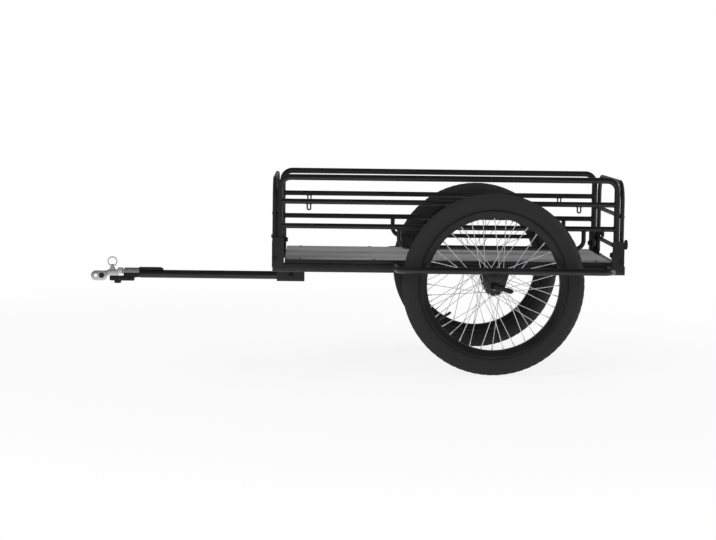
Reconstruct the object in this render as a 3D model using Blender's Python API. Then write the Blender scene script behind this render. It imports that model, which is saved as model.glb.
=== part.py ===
"""Two-wheeled bicycle cargo trailer: ladder frame, flat deck, four fold-down tube panels,
two spoked wheels held on both sides, and a drawbar with a pinned swivel hitch.

X runs from the hitch to the tailgate, Y across the trailer, Z up. The origin is on the
ground under the middle of the whole trailer. "left" is the -Y side.
"""

import math

import bmesh
import bpy
from mathutils import Matrix, Vector

# Wheels: a 20 inch tyre on a 406 mm bead seat.
WHEEL_RADIUS = 0.257
TYRE_HALF_WIDTH = 0.027
BEAD_SEAT_RADIUS = 0.2035
RIM_BORE_RADIUS = 0.1865
RIM_HALF_WIDTH = 0.017
TRACK = 0.620
AXLE_X = 0.38645
AXLE_Z = WHEEL_RADIUS
WHEEL_STEPS = 32
TUBE_STEPS = 24
SPOKE_COUNT = 36
SPOKE_RADIUS = 0.0011
SPOKE_CROSS_TURN = math.radians(60)
VALVE_ANGLES = {"left": math.radians(213.9), "right": math.radians(137)}
VALVE_RADIUS = 0.0039

# Ladder frame of square steel tube.
RAIL_SIZE = 0.025
RAIL_WALL = 0.0015
RAIL_Y = 0.2245
RAIL_Z = 0.2921
FRAME_FRONT_X = AXLE_X - 0.622
FRAME_REAR_X = AXLE_X + 0.382
BEARER_XS = (AXLE_X - 0.320, AXLE_X + 0.075)

# Deck board between the posts.
DECK_FRONT_X = AXLE_X - 0.588
DECK_REAR_X = AXLE_X + 0.343
DECK_HALF_WIDTH = 0.232
DECK_THICKNESS = 0.012

# Side panels: a bent tube with two bars and a wheel guard.
SIDE_FRONT_X = AXLE_X - 0.602
SIDE_REAR_X = AXLE_X + 0.357
PANEL_TOP_Z = 0.549
SIDE_TUBE_RADIUS = 0.0085
SIDE_BEND_RADIUS = 0.029
SIDE_BAR_ZS = (0.480, 0.4105)
SIDE_HINGE_Z = 0.3365
BAR_RADIUS = 0.0075
GUARD_RADIUS = 0.0064
GUARD_Z = 0.3535
GUARD_HALF_LENGTH = 0.2635
GUARD_BEND_RADIUS = 0.024
TUBE_WALL = 0.0012
EYE_OFFSETS = (0.0815, 0.8505)
EYE_ROD_RADIUS = 0.0022

# End panels: the front panel and the tailgate are the same bent tube.
END_TUBE_RADIUS = 0.00625
POST_GAP = 0.0008
END_FRONT_X = SIDE_FRONT_X - SIDE_TUBE_RADIUS - END_TUBE_RADIUS - POST_GAP
END_REAR_X = SIDE_REAR_X + SIDE_TUBE_RADIUS + END_TUBE_RADIUS + POST_GAP
END_TOP_Z = 0.543
END_BEND_RADIUS = 0.055
END_BAR_RADIUS = 0.0062
END_BAR_ZS = (0.446, 0.353)
END_HINGE_Z = 0.318
LOCK_Z_FRONT = 0.380
LOCK_Z_REAR = 0.367

# Wheel bars: round tube from rail to rail round the outside of each wheel.
WHEEL_BAR_RADIUS = 0.0095
WHEEL_BAR_Y = 0.365
WHEEL_BAR_Z = 0.2995
WHEEL_BAR_FRONT_X = AXLE_X - 0.272
WHEEL_BAR_REAR_X = AXLE_X + 0.331
DROPOUT_THICKNESS = 0.004
DROPOUT_BOTTOM_Z = 0.2436
AXLE_RADIUS = 0.005

# Corner brackets of bent plate.
BRACKET_THICKNESS = 0.0025
BRACKET_BOTTOM_Z = 0.293
BRACKET_TOP_Z = 0.377
PIVOT_RADIUS = 0.004

# Drawbar and hitch.
TOW_Z = 0.2472
TOW_RADIUS = 0.012
TOW_WALL = 0.0015
RECEIVER_FRONT_X = AXLE_X - 0.614
RECEIVER_REAR_X = AXLE_X - 0.5320
RECEIVER_HALF_SIZE = 0.0165
RECEIVER_PIN_X = AXLE_X - 0.572
TOW_FRONT_X = AXLE_X - 1.019
STRAP_REAR_X = AXLE_X - 0.9493
HITCH_PIN_X = AXLE_X - 1.1000
HITCH_PITCH_X = AXLE_X - 1.1304
HITCH_PITCH_Z = 0.2425
JAW_TOP_Z = 0.2405
JAW_BOTTOM_Z = 0.2267
JAW_REAR_X = AXLE_X - 1.0354
JAW_BOLT_X = AXLE_X - 1.0843
BLOCK_TOP_Z = 0.2585
NECK_TOP_Z = 0.2643
AXLE_PLATE_X = AXLE_X - 1.1380
AXLE_PLATE_Y = 0.0120
AXLE_PLATE_Z = 0.2418
AXLE_HOLE_X = AXLE_X - 1.1480
RING_RADIUS = 0.0130
RING_WIRE_RADIUS = 0.0017

GAP = 0.0003
TUBE_SIDES = 8
BORE_SIDES = 6
ROUND_STEPS = 16
SIDES = (("left", -1), ("right", 1))
ENDS = (("front", -1), ("rear", 1))

PALETTE = {
    "black_paint": ((0.018, 0.018, 0.019, 1), 0.42, 0.0),
    "deck_board": ((0.115, 0.115, 0.118, 1), 0.55, 0.0),
    "tyre_rubber": ((0.022, 0.022, 0.023, 1), 0.85, 0.0),
    "tube_rubber": ((0.03, 0.03, 0.03, 1), 0.7, 0.0),
    "rim_black": ((0.02, 0.02, 0.021, 1), 0.35, 0.6),
    "spoke_steel": ((0.62, 0.62, 0.63, 1), 0.28, 1.0),
    "zinc": ((0.55, 0.55, 0.56, 1), 0.38, 1.0),
    "chrome": ((0.75, 0.75, 0.76, 1), 0.14, 1.0),
    "black_zinc": ((0.05, 0.05, 0.052, 1), 0.4, 0.8),
    "knob_plastic": ((0.02, 0.02, 0.021, 1), 0.5, 0.0),
}


def clear_scene():
    for obj in list(bpy.data.objects):
        bpy.data.objects.remove(obj, do_unlink=True)


def material(name):
    """The named finish, made on first use."""
    found = bpy.data.materials.get(name)
    if found:
        return found
    colour, roughness, metallic = PALETTE[name]
    made = bpy.data.materials.new(name)
    made.use_nodes = True
    shader = made.node_tree.nodes["Principled BSDF"]
    shader.inputs["Base Color"].default_value = colour
    shader.inputs["Roughness"].default_value = roughness
    shader.inputs["Metallic"].default_value = metallic
    return made


# Shells. Each adds one closed surface, facing out, to a bmesh.


def add_loft(bm, rings, looped=False):
    """Joins rings of equal count by quads; looped joins the last to the first, else both ends are capped."""
    rows = [[bm.verts.new(point) for point in ring] for ring in rings]
    count = len(rows[0])
    faces = []
    pairs = list(zip(rows, rows[1:]))
    if looped:
        pairs.append((rows[-1], rows[0]))
    for first, second in pairs:
        for i in range(count):
            j = (i + 1) % count
            faces.append(bm.faces.new((first[i], first[j], second[j], second[i])))
    if not looped:
        faces.append(bm.faces.new(rows[0]))
        faces.append(bm.faces.new(rows[-1]))
    bmesh.ops.recalc_face_normals(bm, faces=faces)


def cross_frame(axis):
    """Two unit vectors square to an axis."""
    axis = Vector(axis).normalized()
    helper = Vector((0, 0, 1)) if abs(axis.z) < 0.9 else Vector((1, 0, 0))
    first = axis.cross(helper).normalized()
    return first, axis.cross(first).normalized()


def circle(centre, axis, radius, steps, turn=0.0):
    first, second = cross_frame(axis)
    angles = [turn + 2 * math.pi * i / steps for i in range(steps)]
    return [Vector(centre) + radius * (first * math.cos(a) + second * math.sin(a)) for a in angles]


def path_rings(path, radius, steps):
    """Polygons as large as the circle, square to a smooth path and carried along it without twist."""
    path = [Vector(point) for point in path]
    radius *= math.sqrt(2 * math.pi / (steps * math.sin(2 * math.pi / steps)))
    tangents = []
    for i in range(len(path)):
        before = path[i] - path[i - 1] if i else path[1] - path[0]
        after = path[i + 1] - path[i] if i + 1 < len(path) else before
        tangents.append((before.normalized() + after.normalized()).normalized())
    first, _ = cross_frame(tangents[0])
    rings = []
    for point, tangent in zip(path, tangents):
        first = (first - tangent * first.dot(tangent)).normalized()
        second = tangent.cross(first)
        angles = [2 * math.pi * (i + 0.5) / steps for i in range(steps)]
        rings.append([point + radius * (first * math.cos(a) + second * math.sin(a)) for a in angles])
    return rings


def rounded_path(corners, radius, steps=4):
    """A path through corners, each inner corner rounded by an arc."""
    corners = [Vector(corner) for corner in corners]
    points = [corners[0]]
    for before, corner, after in zip(corners, corners[1:], corners[2:]):
        into = (before - corner).normalized()
        out = (after - corner).normalized()
        half = into.angle(out) / 2
        reach = radius / math.tan(half)
        centre = corner + (into + out).normalized() * radius / math.sin(half)
        start = corner + into * reach - centre
        axis = start.cross(corner + out * reach - centre)
        sweep = math.pi - 2 * half
        for i in range(steps + 1):
            points.append(centre + Matrix.Rotation(sweep * i / steps, 3, axis) @ start)
    points.append(corners[-1])
    return points


def stretched(path, extra):
    """The same path with both ends run on by extra."""
    path = [Vector(point) for point in path]
    head = path[0] + (path[0] - path[1]).normalized() * extra
    tail = path[-1] + (path[-1] - path[-2]).normalized() * extra
    return [head] + path[1:-1] + [tail]


def add_tube(bm, path, radius, steps=TUBE_SIDES):
    add_loft(bm, path_rings(path, radius, steps))


def add_rod(bm, start, end, radius, steps=ROUND_STEPS):
    axis = Vector(end) - Vector(start)
    add_loft(bm, [circle(start, axis, radius, steps), circle(end, axis, radius, steps)])


def add_pipe(bm, start, end, radius, wall, steps=ROUND_STEPS):
    axis = Vector(end) - Vector(start)
    places = ((start, radius), (end, radius), (end, radius - wall), (start, radius - wall))
    add_loft(bm, [circle(place, axis, r, steps) for place, r in places], looped=True)


def add_box(bm, low, high):
    xs, ys, zs = zip(low, high)
    rings = [[(x, ys[0], zs[0]), (x, ys[1], zs[0]), (x, ys[1], zs[1]), (x, ys[0], zs[1])] for x in xs]
    add_loft(bm, rings)


def add_box_tube(bm, start, end, size, wall):
    """A square tube along X or Y, open at both ends."""
    axis = (Vector(end) - Vector(start)).normalized()
    side = Vector((0, 0, 1)).cross(axis)
    corners = ((-1, -1), (1, -1), (1, 1), (-1, 1))

    def ring(place, half):
        return [Vector(place) + side * u * half + Vector((0, 0, v * half)) for u, v in corners]

    half = size / 2
    places = ((start, half), (end, half), (end, half - wall), (start, half - wall))
    add_loft(bm, [ring(place, h) for place, h in places], looped=True)


def add_prism(bm, outline, place, start, end):
    """An outline (u, v) pushed from start to end; place(u, v, depth) gives the point."""
    add_loft(bm, [[place(u, v, depth) for u, v in outline] for depth in (start, end)])


def add_turned_ring(bm, profile, centre, steps, turn=0.0):
    """A closed profile of (offset along Y, radius) turned about the Y axis through centre."""
    rings = []
    for i in range(steps):
        angle = turn + 2 * math.pi * i / steps
        radial = Vector((math.cos(angle), 0, math.sin(angle)))
        rings.append([Vector(centre) + Vector((0, y, 0)) + radial * r for y, r in profile])
    add_loft(bm, rings, looped=True)


def add_turned_bar(bm, stations, centre, axis, steps=ROUND_STEPS):
    """Stations of (offset along the axis, radius) from one flat end to the other."""
    axis = Vector(axis).normalized()
    add_loft(bm, [circle(Vector(centre) + axis * s, axis, r, steps) for s, r in stations])


def arc_outline(centre, radius, start, end, steps):
    """Points of an arc in the outline plane, angles in degrees."""
    angles = [math.radians(start + (end - start) * i / steps) for i in range(steps + 1)]
    return [(centre[0] + radius * math.cos(a), centre[1] + radius * math.sin(a)) for a in angles]


# Objects. A node is its first shell, joined with more shells and then cut.


def mesh_object(name, fill, finish=None):
    bm = bmesh.new()
    fill(bm)
    mesh = bpy.data.meshes.new(name)
    bm.to_mesh(mesh)
    bm.free()
    obj = bpy.data.objects.new(name, mesh)
    bpy.context.scene.collection.objects.link(obj)
    if finish:
        mesh.materials.append(material(finish))
        mesh.shade_smooth()
        mesh.set_sharp_from_angle(angle=math.radians(35))
    return obj


def helper_object(name, fill):
    obj = mesh_object(name, fill)
    obj.hide_render = True
    obj.display_type = "WIRE"
    return obj


def add_boolean(obj, operation, other):
    modifier = obj.modifiers.new(operation.lower(), "BOOLEAN")
    modifier.operation = operation
    modifier.solver = "EXACT"
    modifier.use_self = True
    modifier.object = other


def node(name, finish, base, joined=None, cut=None):
    """A named solid: base shells, with joined shells added and cut shells taken away."""
    obj = mesh_object(name, base, finish)
    if joined:
        add_boolean(obj, "UNION", helper_object("joined_" + name, joined))
    if cut:
        add_boolean(obj, "DIFFERENCE", helper_object("cut_" + name, cut))
    return obj


def hang_on_pivot(name, place, objects):
    """Parents objects to an empty on their joint's axis, leaving them where they are."""
    pivot = bpy.data.objects.new("pivot_" + name, None)
    pivot.empty_display_size = 0.03
    pivot.location = place
    bpy.context.scene.collection.objects.link(pivot)
    for obj in objects:
        obj.parent = pivot
        obj.matrix_parent_inverse = Matrix.Translation(place).inverted()


def xz_plate(u, v, depth):
    return Vector((u, depth, v))


def xy_plate(u, v, depth):
    return Vector((u, v, depth))


def yz_plate(u, v, depth):
    return Vector((depth, u, v))


# Ladder frame and deck.


def build_rails():
    for side, sign in SIDES:
        y = sign * RAIL_Y
        ends = ((FRAME_FRONT_X, y, RAIL_Z), (FRAME_REAR_X, y, RAIL_Z))
        node(
            f"base_rail_{side}",
            "black_paint",
            lambda bm, e=ends: add_box_tube(bm, *e, RAIL_SIZE, RAIL_WALL),
        )
    reach = RAIL_Y - RAIL_SIZE / 2 - GAP
    places = {
        "front_cross_rail": FRAME_FRONT_X + RAIL_SIZE / 2,
        "rear_cross_rail": FRAME_REAR_X - RAIL_SIZE / 2,
        "deck_bearer_front": BEARER_XS[0],
        "deck_bearer_rear": BEARER_XS[1],
    }
    for name, x in places.items():
        ends = ((x, -reach, RAIL_Z), (x, reach, RAIL_Z))
        node(name, "black_paint", lambda bm, e=ends: add_box_tube(bm, *e, RAIL_SIZE, RAIL_WALL))


def build_deck():
    bottom = RAIL_Z + RAIL_SIZE / 2 + GAP
    low = (DECK_FRONT_X, -DECK_HALF_WIDTH, bottom)
    high = (DECK_REAR_X, DECK_HALF_WIDTH, bottom + DECK_THICKNESS)
    deck = node("deck_panel", "deck_board", lambda bm: add_box(bm, low, high))
    bevel = deck.modifiers.new("edge_round", "BEVEL")
    bevel.width = 0.0012
    bevel.segments = 1


def dropout_outline(top_z, top_half_width):
    """A tapered plate with an open slot for the axle, in the X-Z plane."""
    bottom_half_width = 0.0245
    slot = AXLE_RADIUS + 0.0003
    slot_top = arc_outline((AXLE_X, AXLE_Z), slot, 180, 0, 6)
    left_edge = [(AXLE_X - top_half_width, top_z), (AXLE_X - bottom_half_width, DROPOUT_BOTTOM_Z)]
    right_edge = [(AXLE_X + bottom_half_width, DROPOUT_BOTTOM_Z), (AXLE_X + top_half_width, top_z)]
    slot_left = [(AXLE_X - slot, DROPOUT_BOTTOM_Z)]
    slot_right = [(AXLE_X + slot, DROPOUT_BOTTOM_Z)]
    return left_edge + slot_left + slot_top + slot_right + right_edge


def build_wheel_supports():
    top_half_width = 0.0400
    for side, sign in SIDES:
        start_y = sign * (RAIL_Y + RAIL_SIZE / 2 + GAP)
        y = sign * WHEEL_BAR_Y
        corners = [
            (WHEEL_BAR_FRONT_X, start_y, WHEEL_BAR_Z),
            (WHEEL_BAR_FRONT_X, y, WHEEL_BAR_Z),
            (WHEEL_BAR_REAR_X, y, WHEEL_BAR_Z),
            (WHEEL_BAR_REAR_X, start_y, WHEEL_BAR_Z),
        ]
        path = rounded_path(corners, 0.032)
        plate = dropout_outline(WHEEL_BAR_Z - 0.002, top_half_width)
        half = DROPOUT_THICKNESS / 2
        bore = WHEEL_BAR_RADIUS - RAIL_WALL
        node(
            f"wheel_bar_{side}",
            "black_paint",
            lambda bm, p=path: add_tube(bm, p, WHEEL_BAR_RADIUS),
            joined=lambda bm, o=plate, m=y: add_prism(bm, o, xz_plate, m - half, m + half),
            cut=lambda bm, p=path: add_tube(bm, stretched(p, 0.01), bore, BORE_SIDES),
        )
        face = RAIL_Y + RAIL_SIZE / 2 + GAP
        faces = (sign * face, sign * (face + DROPOUT_THICKNESS))
        inner_plate = dropout_outline(RAIL_Z + RAIL_SIZE / 2, top_half_width)
        node(
            f"inner_dropout_{side}",
            "black_paint",
            lambda bm, o=inner_plate, f=faces: add_prism(bm, o, xz_plate, min(f), max(f)),
        )


# Wheels.


def wheel_centre(sign):
    return Vector((AXLE_X, sign * TRACK / 2, AXLE_Z))


def tyre_profile():
    """Half of the casing's section, outer wall then inner wall, mirrored across the middle."""
    bead_y = RIM_HALF_WIDTH - 0.0024
    outer = [
        (bead_y, BEAD_SEAT_RADIUS + 0.0006),
        (bead_y, 0.2099),
        (0.0240, 0.2180),
        (TYRE_HALF_WIDTH, 0.2305),
        (0.0242, 0.2440),
        (0.0152, 0.2535),
        (0.0050, WHEEL_RADIUS),
    ]
    inner = [
        (0.0085, 0.2515),
        (0.0216, 0.2405),
        (0.0222, 0.2235),
        (0.0112, 0.2135),
        (0.0112, BEAD_SEAT_RADIUS + 0.0006),
    ]
    mirrored_outer = [(-y, r) for y, r in reversed(outer)]
    mirrored_inner = [(-y, r) for y, r in reversed(inner)]
    return outer + mirrored_outer + mirrored_inner + inner


def rim_profile():
    """A single-wall rim with hooked flanges."""
    half = RIM_HALF_WIDTH
    hub_side = [(half, 0.2090), (half, 0.2010), (0.0100, RIM_BORE_RADIUS)]
    tyre_side = [
        (0.0080, 0.1905),
        (0.0125, BEAD_SEAT_RADIUS),
        (half - 0.0021, BEAD_SEAT_RADIUS),
        (half - 0.0021, 0.2090),
    ]
    mirrored_hub = [(-y, r) for y, r in reversed(hub_side)]
    mirrored_tyre = [(-y, r) for y, r in reversed(tyre_side)]
    return hub_side + mirrored_hub + mirrored_tyre + tyre_side


def hub_profile():
    """The hub shell: bearing seats in the ends, a flange near each end."""
    outer = [(0.036, 0.0165), (0.0300, 0.0165), (0.0288, 0.0290), (0.0232, 0.0290), (0.0215, 0.0150)]
    inner = [(0.0277, 0.0080), (0.0277, 0.0133), (0.036, 0.0133)]
    mirrored_outer = [(-y, r) for y, r in reversed(outer)]
    mirrored_inner = [(-y, r) for y, r in reversed(inner)]
    return outer + mirrored_outer + mirrored_inner + inner


def add_spokes(bm, centre):
    """Crossed spokes from both flanges to just inside the rim."""
    hole_radius = 0.0262
    rim_end = RIM_BORE_RADIUS * math.cos(math.pi / WHEEL_STEPS) - GAP - 0.0002
    for i in range(SPOKE_COUNT):
        flange = 1 if i % 2 else -1
        lead = 1 if (i // 2) % 2 else -1
        rim_angle = 2 * math.pi * i / SPOKE_COUNT
        hub_angle = rim_angle + lead * SPOKE_CROSS_TURN
        hub_y = flange * (0.0260 + 0.0021 * lead)
        rim_y = flange * 0.0025
        start = centre + Vector((hole_radius * math.cos(hub_angle), hub_y, hole_radius * math.sin(hub_angle)))
        end = centre + Vector((rim_end * math.cos(rim_angle), rim_y, rim_end * math.sin(rim_angle)))
        axis = end - start
        add_loft(bm, [circle(place, axis, SPOKE_RADIUS, 4) for place in (start, end)])


def tube_profile():
    """The inner tube's section, round, resting clear of the casing."""
    return [(y, r) for y, r in arc_outline((0.0, 0.2315), 0.0172, 0, 315, 7)]


def build_wheel(side, sign):
    centre = wheel_centre(sign)
    valve_out = Vector((math.cos(VALVE_ANGLES[side]), 0, math.sin(VALVE_ANGLES[side])))
    tyre = node(
        f"tyre_{side}",
        "tyre_rubber",
        lambda bm: add_turned_ring(bm, tyre_profile(), centre, WHEEL_STEPS),
    )
    tube = node(
        f"inner_tube_{side}",
        "tube_rubber",
        lambda bm: add_turned_ring(bm, tube_profile(), centre, TUBE_STEPS),
        joined=lambda bm: add_rod(bm, centre + valve_out * 0.222, centre + valve_out * 0.142, VALVE_RADIUS, 10),
    )
    rim = node(
        f"rim_{side}",
        "rim_black",
        lambda bm: add_turned_ring(bm, rim_profile(), centre, WHEEL_STEPS),
        cut=lambda bm: add_rod(bm, centre + valve_out * 0.215, centre + valve_out * 0.170, VALVE_RADIUS + 0.0005, 10),
    )
    hub = node(
        f"hub_and_spokes_{side}",
        "spoke_steel",
        lambda bm: add_turned_ring(bm, hub_profile(), centre, 18),
        joined=lambda bm: add_spokes(bm, centre),
    )
    turning = [tyre, tube, rim, hub]
    for place, way in (("inner", -sign), ("outer", sign)):
        ends = sorted((way * 0.0280, way * 0.0357))
        profile = [(ends[0], 0.0053), (ends[0], 0.0130), (ends[1], 0.0130), (ends[1], 0.0053)]
        bearing = node(
            f"bearing_{side}_{place}", "zinc", lambda bm, p=profile: add_turned_ring(bm, p, centre, ROUND_STEPS)
        )
        turning.append(bearing)
    hang_on_pivot(f"wheel_{side}", centre, turning)


def build_axle(side, sign):
    """The axle is turned in one with its spacers; offsets run outwards from the wheel's middle."""
    centre = wheel_centre(sign)
    outward = Vector((0, sign, 0))
    inner_face = RAIL_Y + RAIL_SIZE / 2 + GAP + DROPOUT_THICKNESS - TRACK / 2
    outer_face = WHEEL_BAR_Y - DROPOUT_THICKNESS / 2 - TRACK / 2
    bearing_end = 0.0360
    spacer_radius = 0.008
    stations = [
        (inner_face - 0.0150, AXLE_RADIUS),
        (inner_face + GAP, AXLE_RADIUS),
        (inner_face + GAP, spacer_radius),
        (-bearing_end, spacer_radius),
        (-bearing_end, AXLE_RADIUS),
        (bearing_end, AXLE_RADIUS),
        (bearing_end, spacer_radius),
        (outer_face - GAP, spacer_radius),
        (outer_face - GAP, AXLE_RADIUS),
        (outer_face + DROPOUT_THICKNESS, AXLE_RADIUS),
    ]
    node(f"axle_{side}", "zinc", lambda bm: add_turned_bar(bm, stations, centre, outward, 12))
    nut_face = inner_face - DROPOUT_THICKNESS - GAP
    nut = [(nut_face, 0.0087), (nut_face - 0.008, 0.0087)]
    node(
        f"axle_nut_{side}",
        "black_zinc",
        lambda bm: add_turned_bar(bm, nut, centre, outward, 6),
        cut=lambda bm: add_turned_bar(bm, [(nut_face + 0.01, 0.0053), (nut_face - 0.02, 0.0053)], centre, outward),
    )


def build_axle_lever(side, sign):
    """A cam lever that clamps the axle in the outer plate; its arm points back and a little down."""
    tilt = math.radians(15)
    centre = wheel_centre(sign)
    arm = Vector((math.cos(tilt), 0, -math.sin(tilt)))
    cam_axis = Vector((math.sin(tilt), 0, math.cos(tilt)))
    outward = Vector((0, sign, 0))
    cam_radius = 0.0090
    plate_face = WHEEL_BAR_Y + DROPOUT_THICKNESS / 2 - TRACK / 2
    cam_centre = centre + outward * (plate_face + GAP + cam_radius)
    arm_inner = 0.0035
    arm_outer = 0.0085
    outline = [(-0.003, -0.0064), (0.018, -0.0056), (0.034, -0.0068), (0.048, -0.0060), (0.051, 0.0)]
    outline += [(u, -v) for u, v in reversed(outline[:-1])]

    def place(u, v, depth):
        return cam_centre + arm * u + cam_axis * v + outward * depth

    lever = node(
        f"axle_lever_{side}",
        "black_zinc",
        lambda bm: add_turned_bar(bm, [(-0.0075, cam_radius), (0.0075, cam_radius)], cam_centre, cam_axis),
        joined=lambda bm: add_prism(bm, outline, place, arm_inner, arm_outer),
    )
    hang_on_pivot(f"axle_lever_{side}", cam_centre, [lever])


# Side panels.


def side_paths(y):
    """The bent main tube, the two bars and the wheel guard of a side panel."""
    bottom = SIDE_HINGE_Z - SIDE_TUBE_RADIUS
    main = rounded_path(
        [
            (SIDE_FRONT_X, y, bottom),
            (SIDE_FRONT_X, y, PANEL_TOP_Z),
            (SIDE_REAR_X, y, PANEL_TOP_Z),
            (SIDE_REAR_X, y, bottom),
        ],
        SIDE_BEND_RADIUS,
    )
    bars = [[(SIDE_FRONT_X, y, z), (SIDE_REAR_X, y, z)] for z in SIDE_BAR_ZS]
    front = AXLE_X - GUARD_HALF_LENGTH
    rear = AXLE_X + GUARD_HALF_LENGTH
    top = SIDE_BAR_ZS[1]
    guard = rounded_path(
        [(front, y, top), (front, y, GUARD_Z), (rear, y, GUARD_Z), (rear, y, top)], GUARD_BEND_RADIUS
    )
    return main, bars, guard


def tie_eye_path(x, y):
    """A U of wire welded under the upper bar, for a strap or a cord."""
    bar_z = SIDE_BAR_ZS[0]
    eye_z = bar_z - 0.0235
    half = 0.0048
    corners = [(x - half, y, bar_z), (x - half, y, eye_z), (x + half, y, eye_z), (x + half, y, bar_z)]
    return rounded_path(corners, 0.0046, 3)


def build_side_panel(side, sign):
    y = sign * RAIL_Y
    main, bars, guard = side_paths(y)
    hinge_hole = PIVOT_RADIUS + 0.0003
    weld_nut_radius = 0.0056
    weld_nut_reach = SIDE_TUBE_RADIUS + 0.0050

    def add_joined(bm):
        for bar in bars:
            add_tube(bm, bar, BAR_RADIUS)
        add_tube(bm, guard, GUARD_RADIUS)
        for offset in EYE_OFFSETS:
            add_tube(bm, tie_eye_path(SIDE_FRONT_X + offset, y), EYE_ROD_RADIUS, 6)
        for x, way, z in ((SIDE_FRONT_X, 1, LOCK_Z_FRONT), (SIDE_REAR_X, -1, LOCK_Z_REAR)):
            add_rod(bm, (x + way * 0.004, y, z), (x + way * weld_nut_reach, y, z), weld_nut_radius, 6)

    def add_cut(bm):
        add_tube(bm, stretched(main, 0.01), SIDE_TUBE_RADIUS - TUBE_WALL, BORE_SIDES)
        for bar in bars:
            add_tube(bm, bar, BAR_RADIUS - TUBE_WALL, BORE_SIDES)
        add_tube(bm, guard, GUARD_RADIUS - TUBE_WALL, BORE_SIDES)
        for x in (SIDE_FRONT_X, SIDE_REAR_X):
            add_rod(bm, (x - 0.02, y, SIDE_HINGE_Z), (x + 0.02, y, SIDE_HINGE_Z), hinge_hole, 10)

    panel = node(
        f"side_panel_{side}",
        "black_paint",
        lambda bm: add_tube(bm, main, SIDE_TUBE_RADIUS),
        joined=add_joined,
        cut=add_cut,
    )
    hang_on_pivot(f"side_panel_{side}", (AXLE_X, y, SIDE_HINGE_Z), [panel])


# End panels.


def build_end_panel(name, x, lock_z):
    """The bent tube runs up one post, across the top and down the other post."""
    bottom = END_HINGE_Z - END_TUBE_RADIUS
    main = rounded_path(
        [
            (x, -RAIL_Y, bottom),
            (x, -RAIL_Y, END_TOP_Z),
            (x, RAIL_Y, END_TOP_Z),
            (x, RAIL_Y, bottom),
        ],
        END_BEND_RADIUS,
    )
    bars = [[(x, -RAIL_Y, z), (x, RAIL_Y, z)] for z in END_BAR_ZS]
    hinge_hole = PIVOT_RADIUS + 0.0003
    lock_hole = 0.0034

    def add_joined(bm):
        for bar in bars:
            add_tube(bm, bar, END_BAR_RADIUS)

    def add_cut(bm):
        add_tube(bm, stretched(main, 0.01), END_TUBE_RADIUS - TUBE_WALL, BORE_SIDES)
        for bar in bars:
            add_tube(bm, bar, END_BAR_RADIUS - TUBE_WALL, BORE_SIDES)
        for sign in (-1, 1):
            y = sign * RAIL_Y
            add_rod(bm, (x, y - 0.02, END_HINGE_Z), (x, y + 0.02, END_HINGE_Z), hinge_hole, 10)
            add_rod(bm, (x - 0.02, y, lock_z), (x + 0.02, y, lock_z), lock_hole, 10)

    panel = node(
        name,
        "black_paint",
        lambda bm: add_tube(bm, main, END_TUBE_RADIUS),
        joined=add_joined,
        cut=add_cut,
    )
    return panel


def build_lock_bolts(x):
    """Low button-head screws that clamp the front panel's posts to the side panels."""
    bolts = []
    for side, sign in SIDES:
        head = x - END_TUBE_RADIUS - GAP
        stations = [(0.0, 0.0030), (0.0, 0.0060), (0.0018, 0.0055), (0.0028, 0.0035)]
        stations = [(-(2 * END_TUBE_RADIUS + GAP), 0.0030)] + stations
        centre = (head, sign * RAIL_Y, LOCK_Z_FRONT)
        screw = node(
            f"lock_screw_front_{side}",
            "black_zinc",
            lambda bm, c=centre, s=stations: add_turned_bar(bm, s, c, (-1, 0, 0), 12),
        )
        bolts.append(screw)
    return bolts


def build_lock_knob(x, side, sign):
    """A clamping knob whose stud runs through the tailgate's post towards the side panel."""
    face = x + END_TUBE_RADIUS + GAP
    stud_radius = 0.0030
    stations = [
        (-(2 * END_TUBE_RADIUS + GAP), stud_radius),
        (0.0, stud_radius),
        (0.0, 0.0062),
        (0.0022, 0.0062),
        (0.0022, 0.0140),
        (0.0086, 0.0140),
        (0.0102, 0.0120),
    ]
    knob = node(
        f"lock_knob_{side}",
        "knob_plastic",
        lambda bm: add_turned_bar(bm, stations, (face, sign * RAIL_Y, LOCK_Z_REAR), (1, 0, 0), 16),
    )
    hang_on_pivot(f"lock_knob_{side}", (face, sign * RAIL_Y, LOCK_Z_REAR), [knob])


# Corner brackets and pivots.


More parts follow.
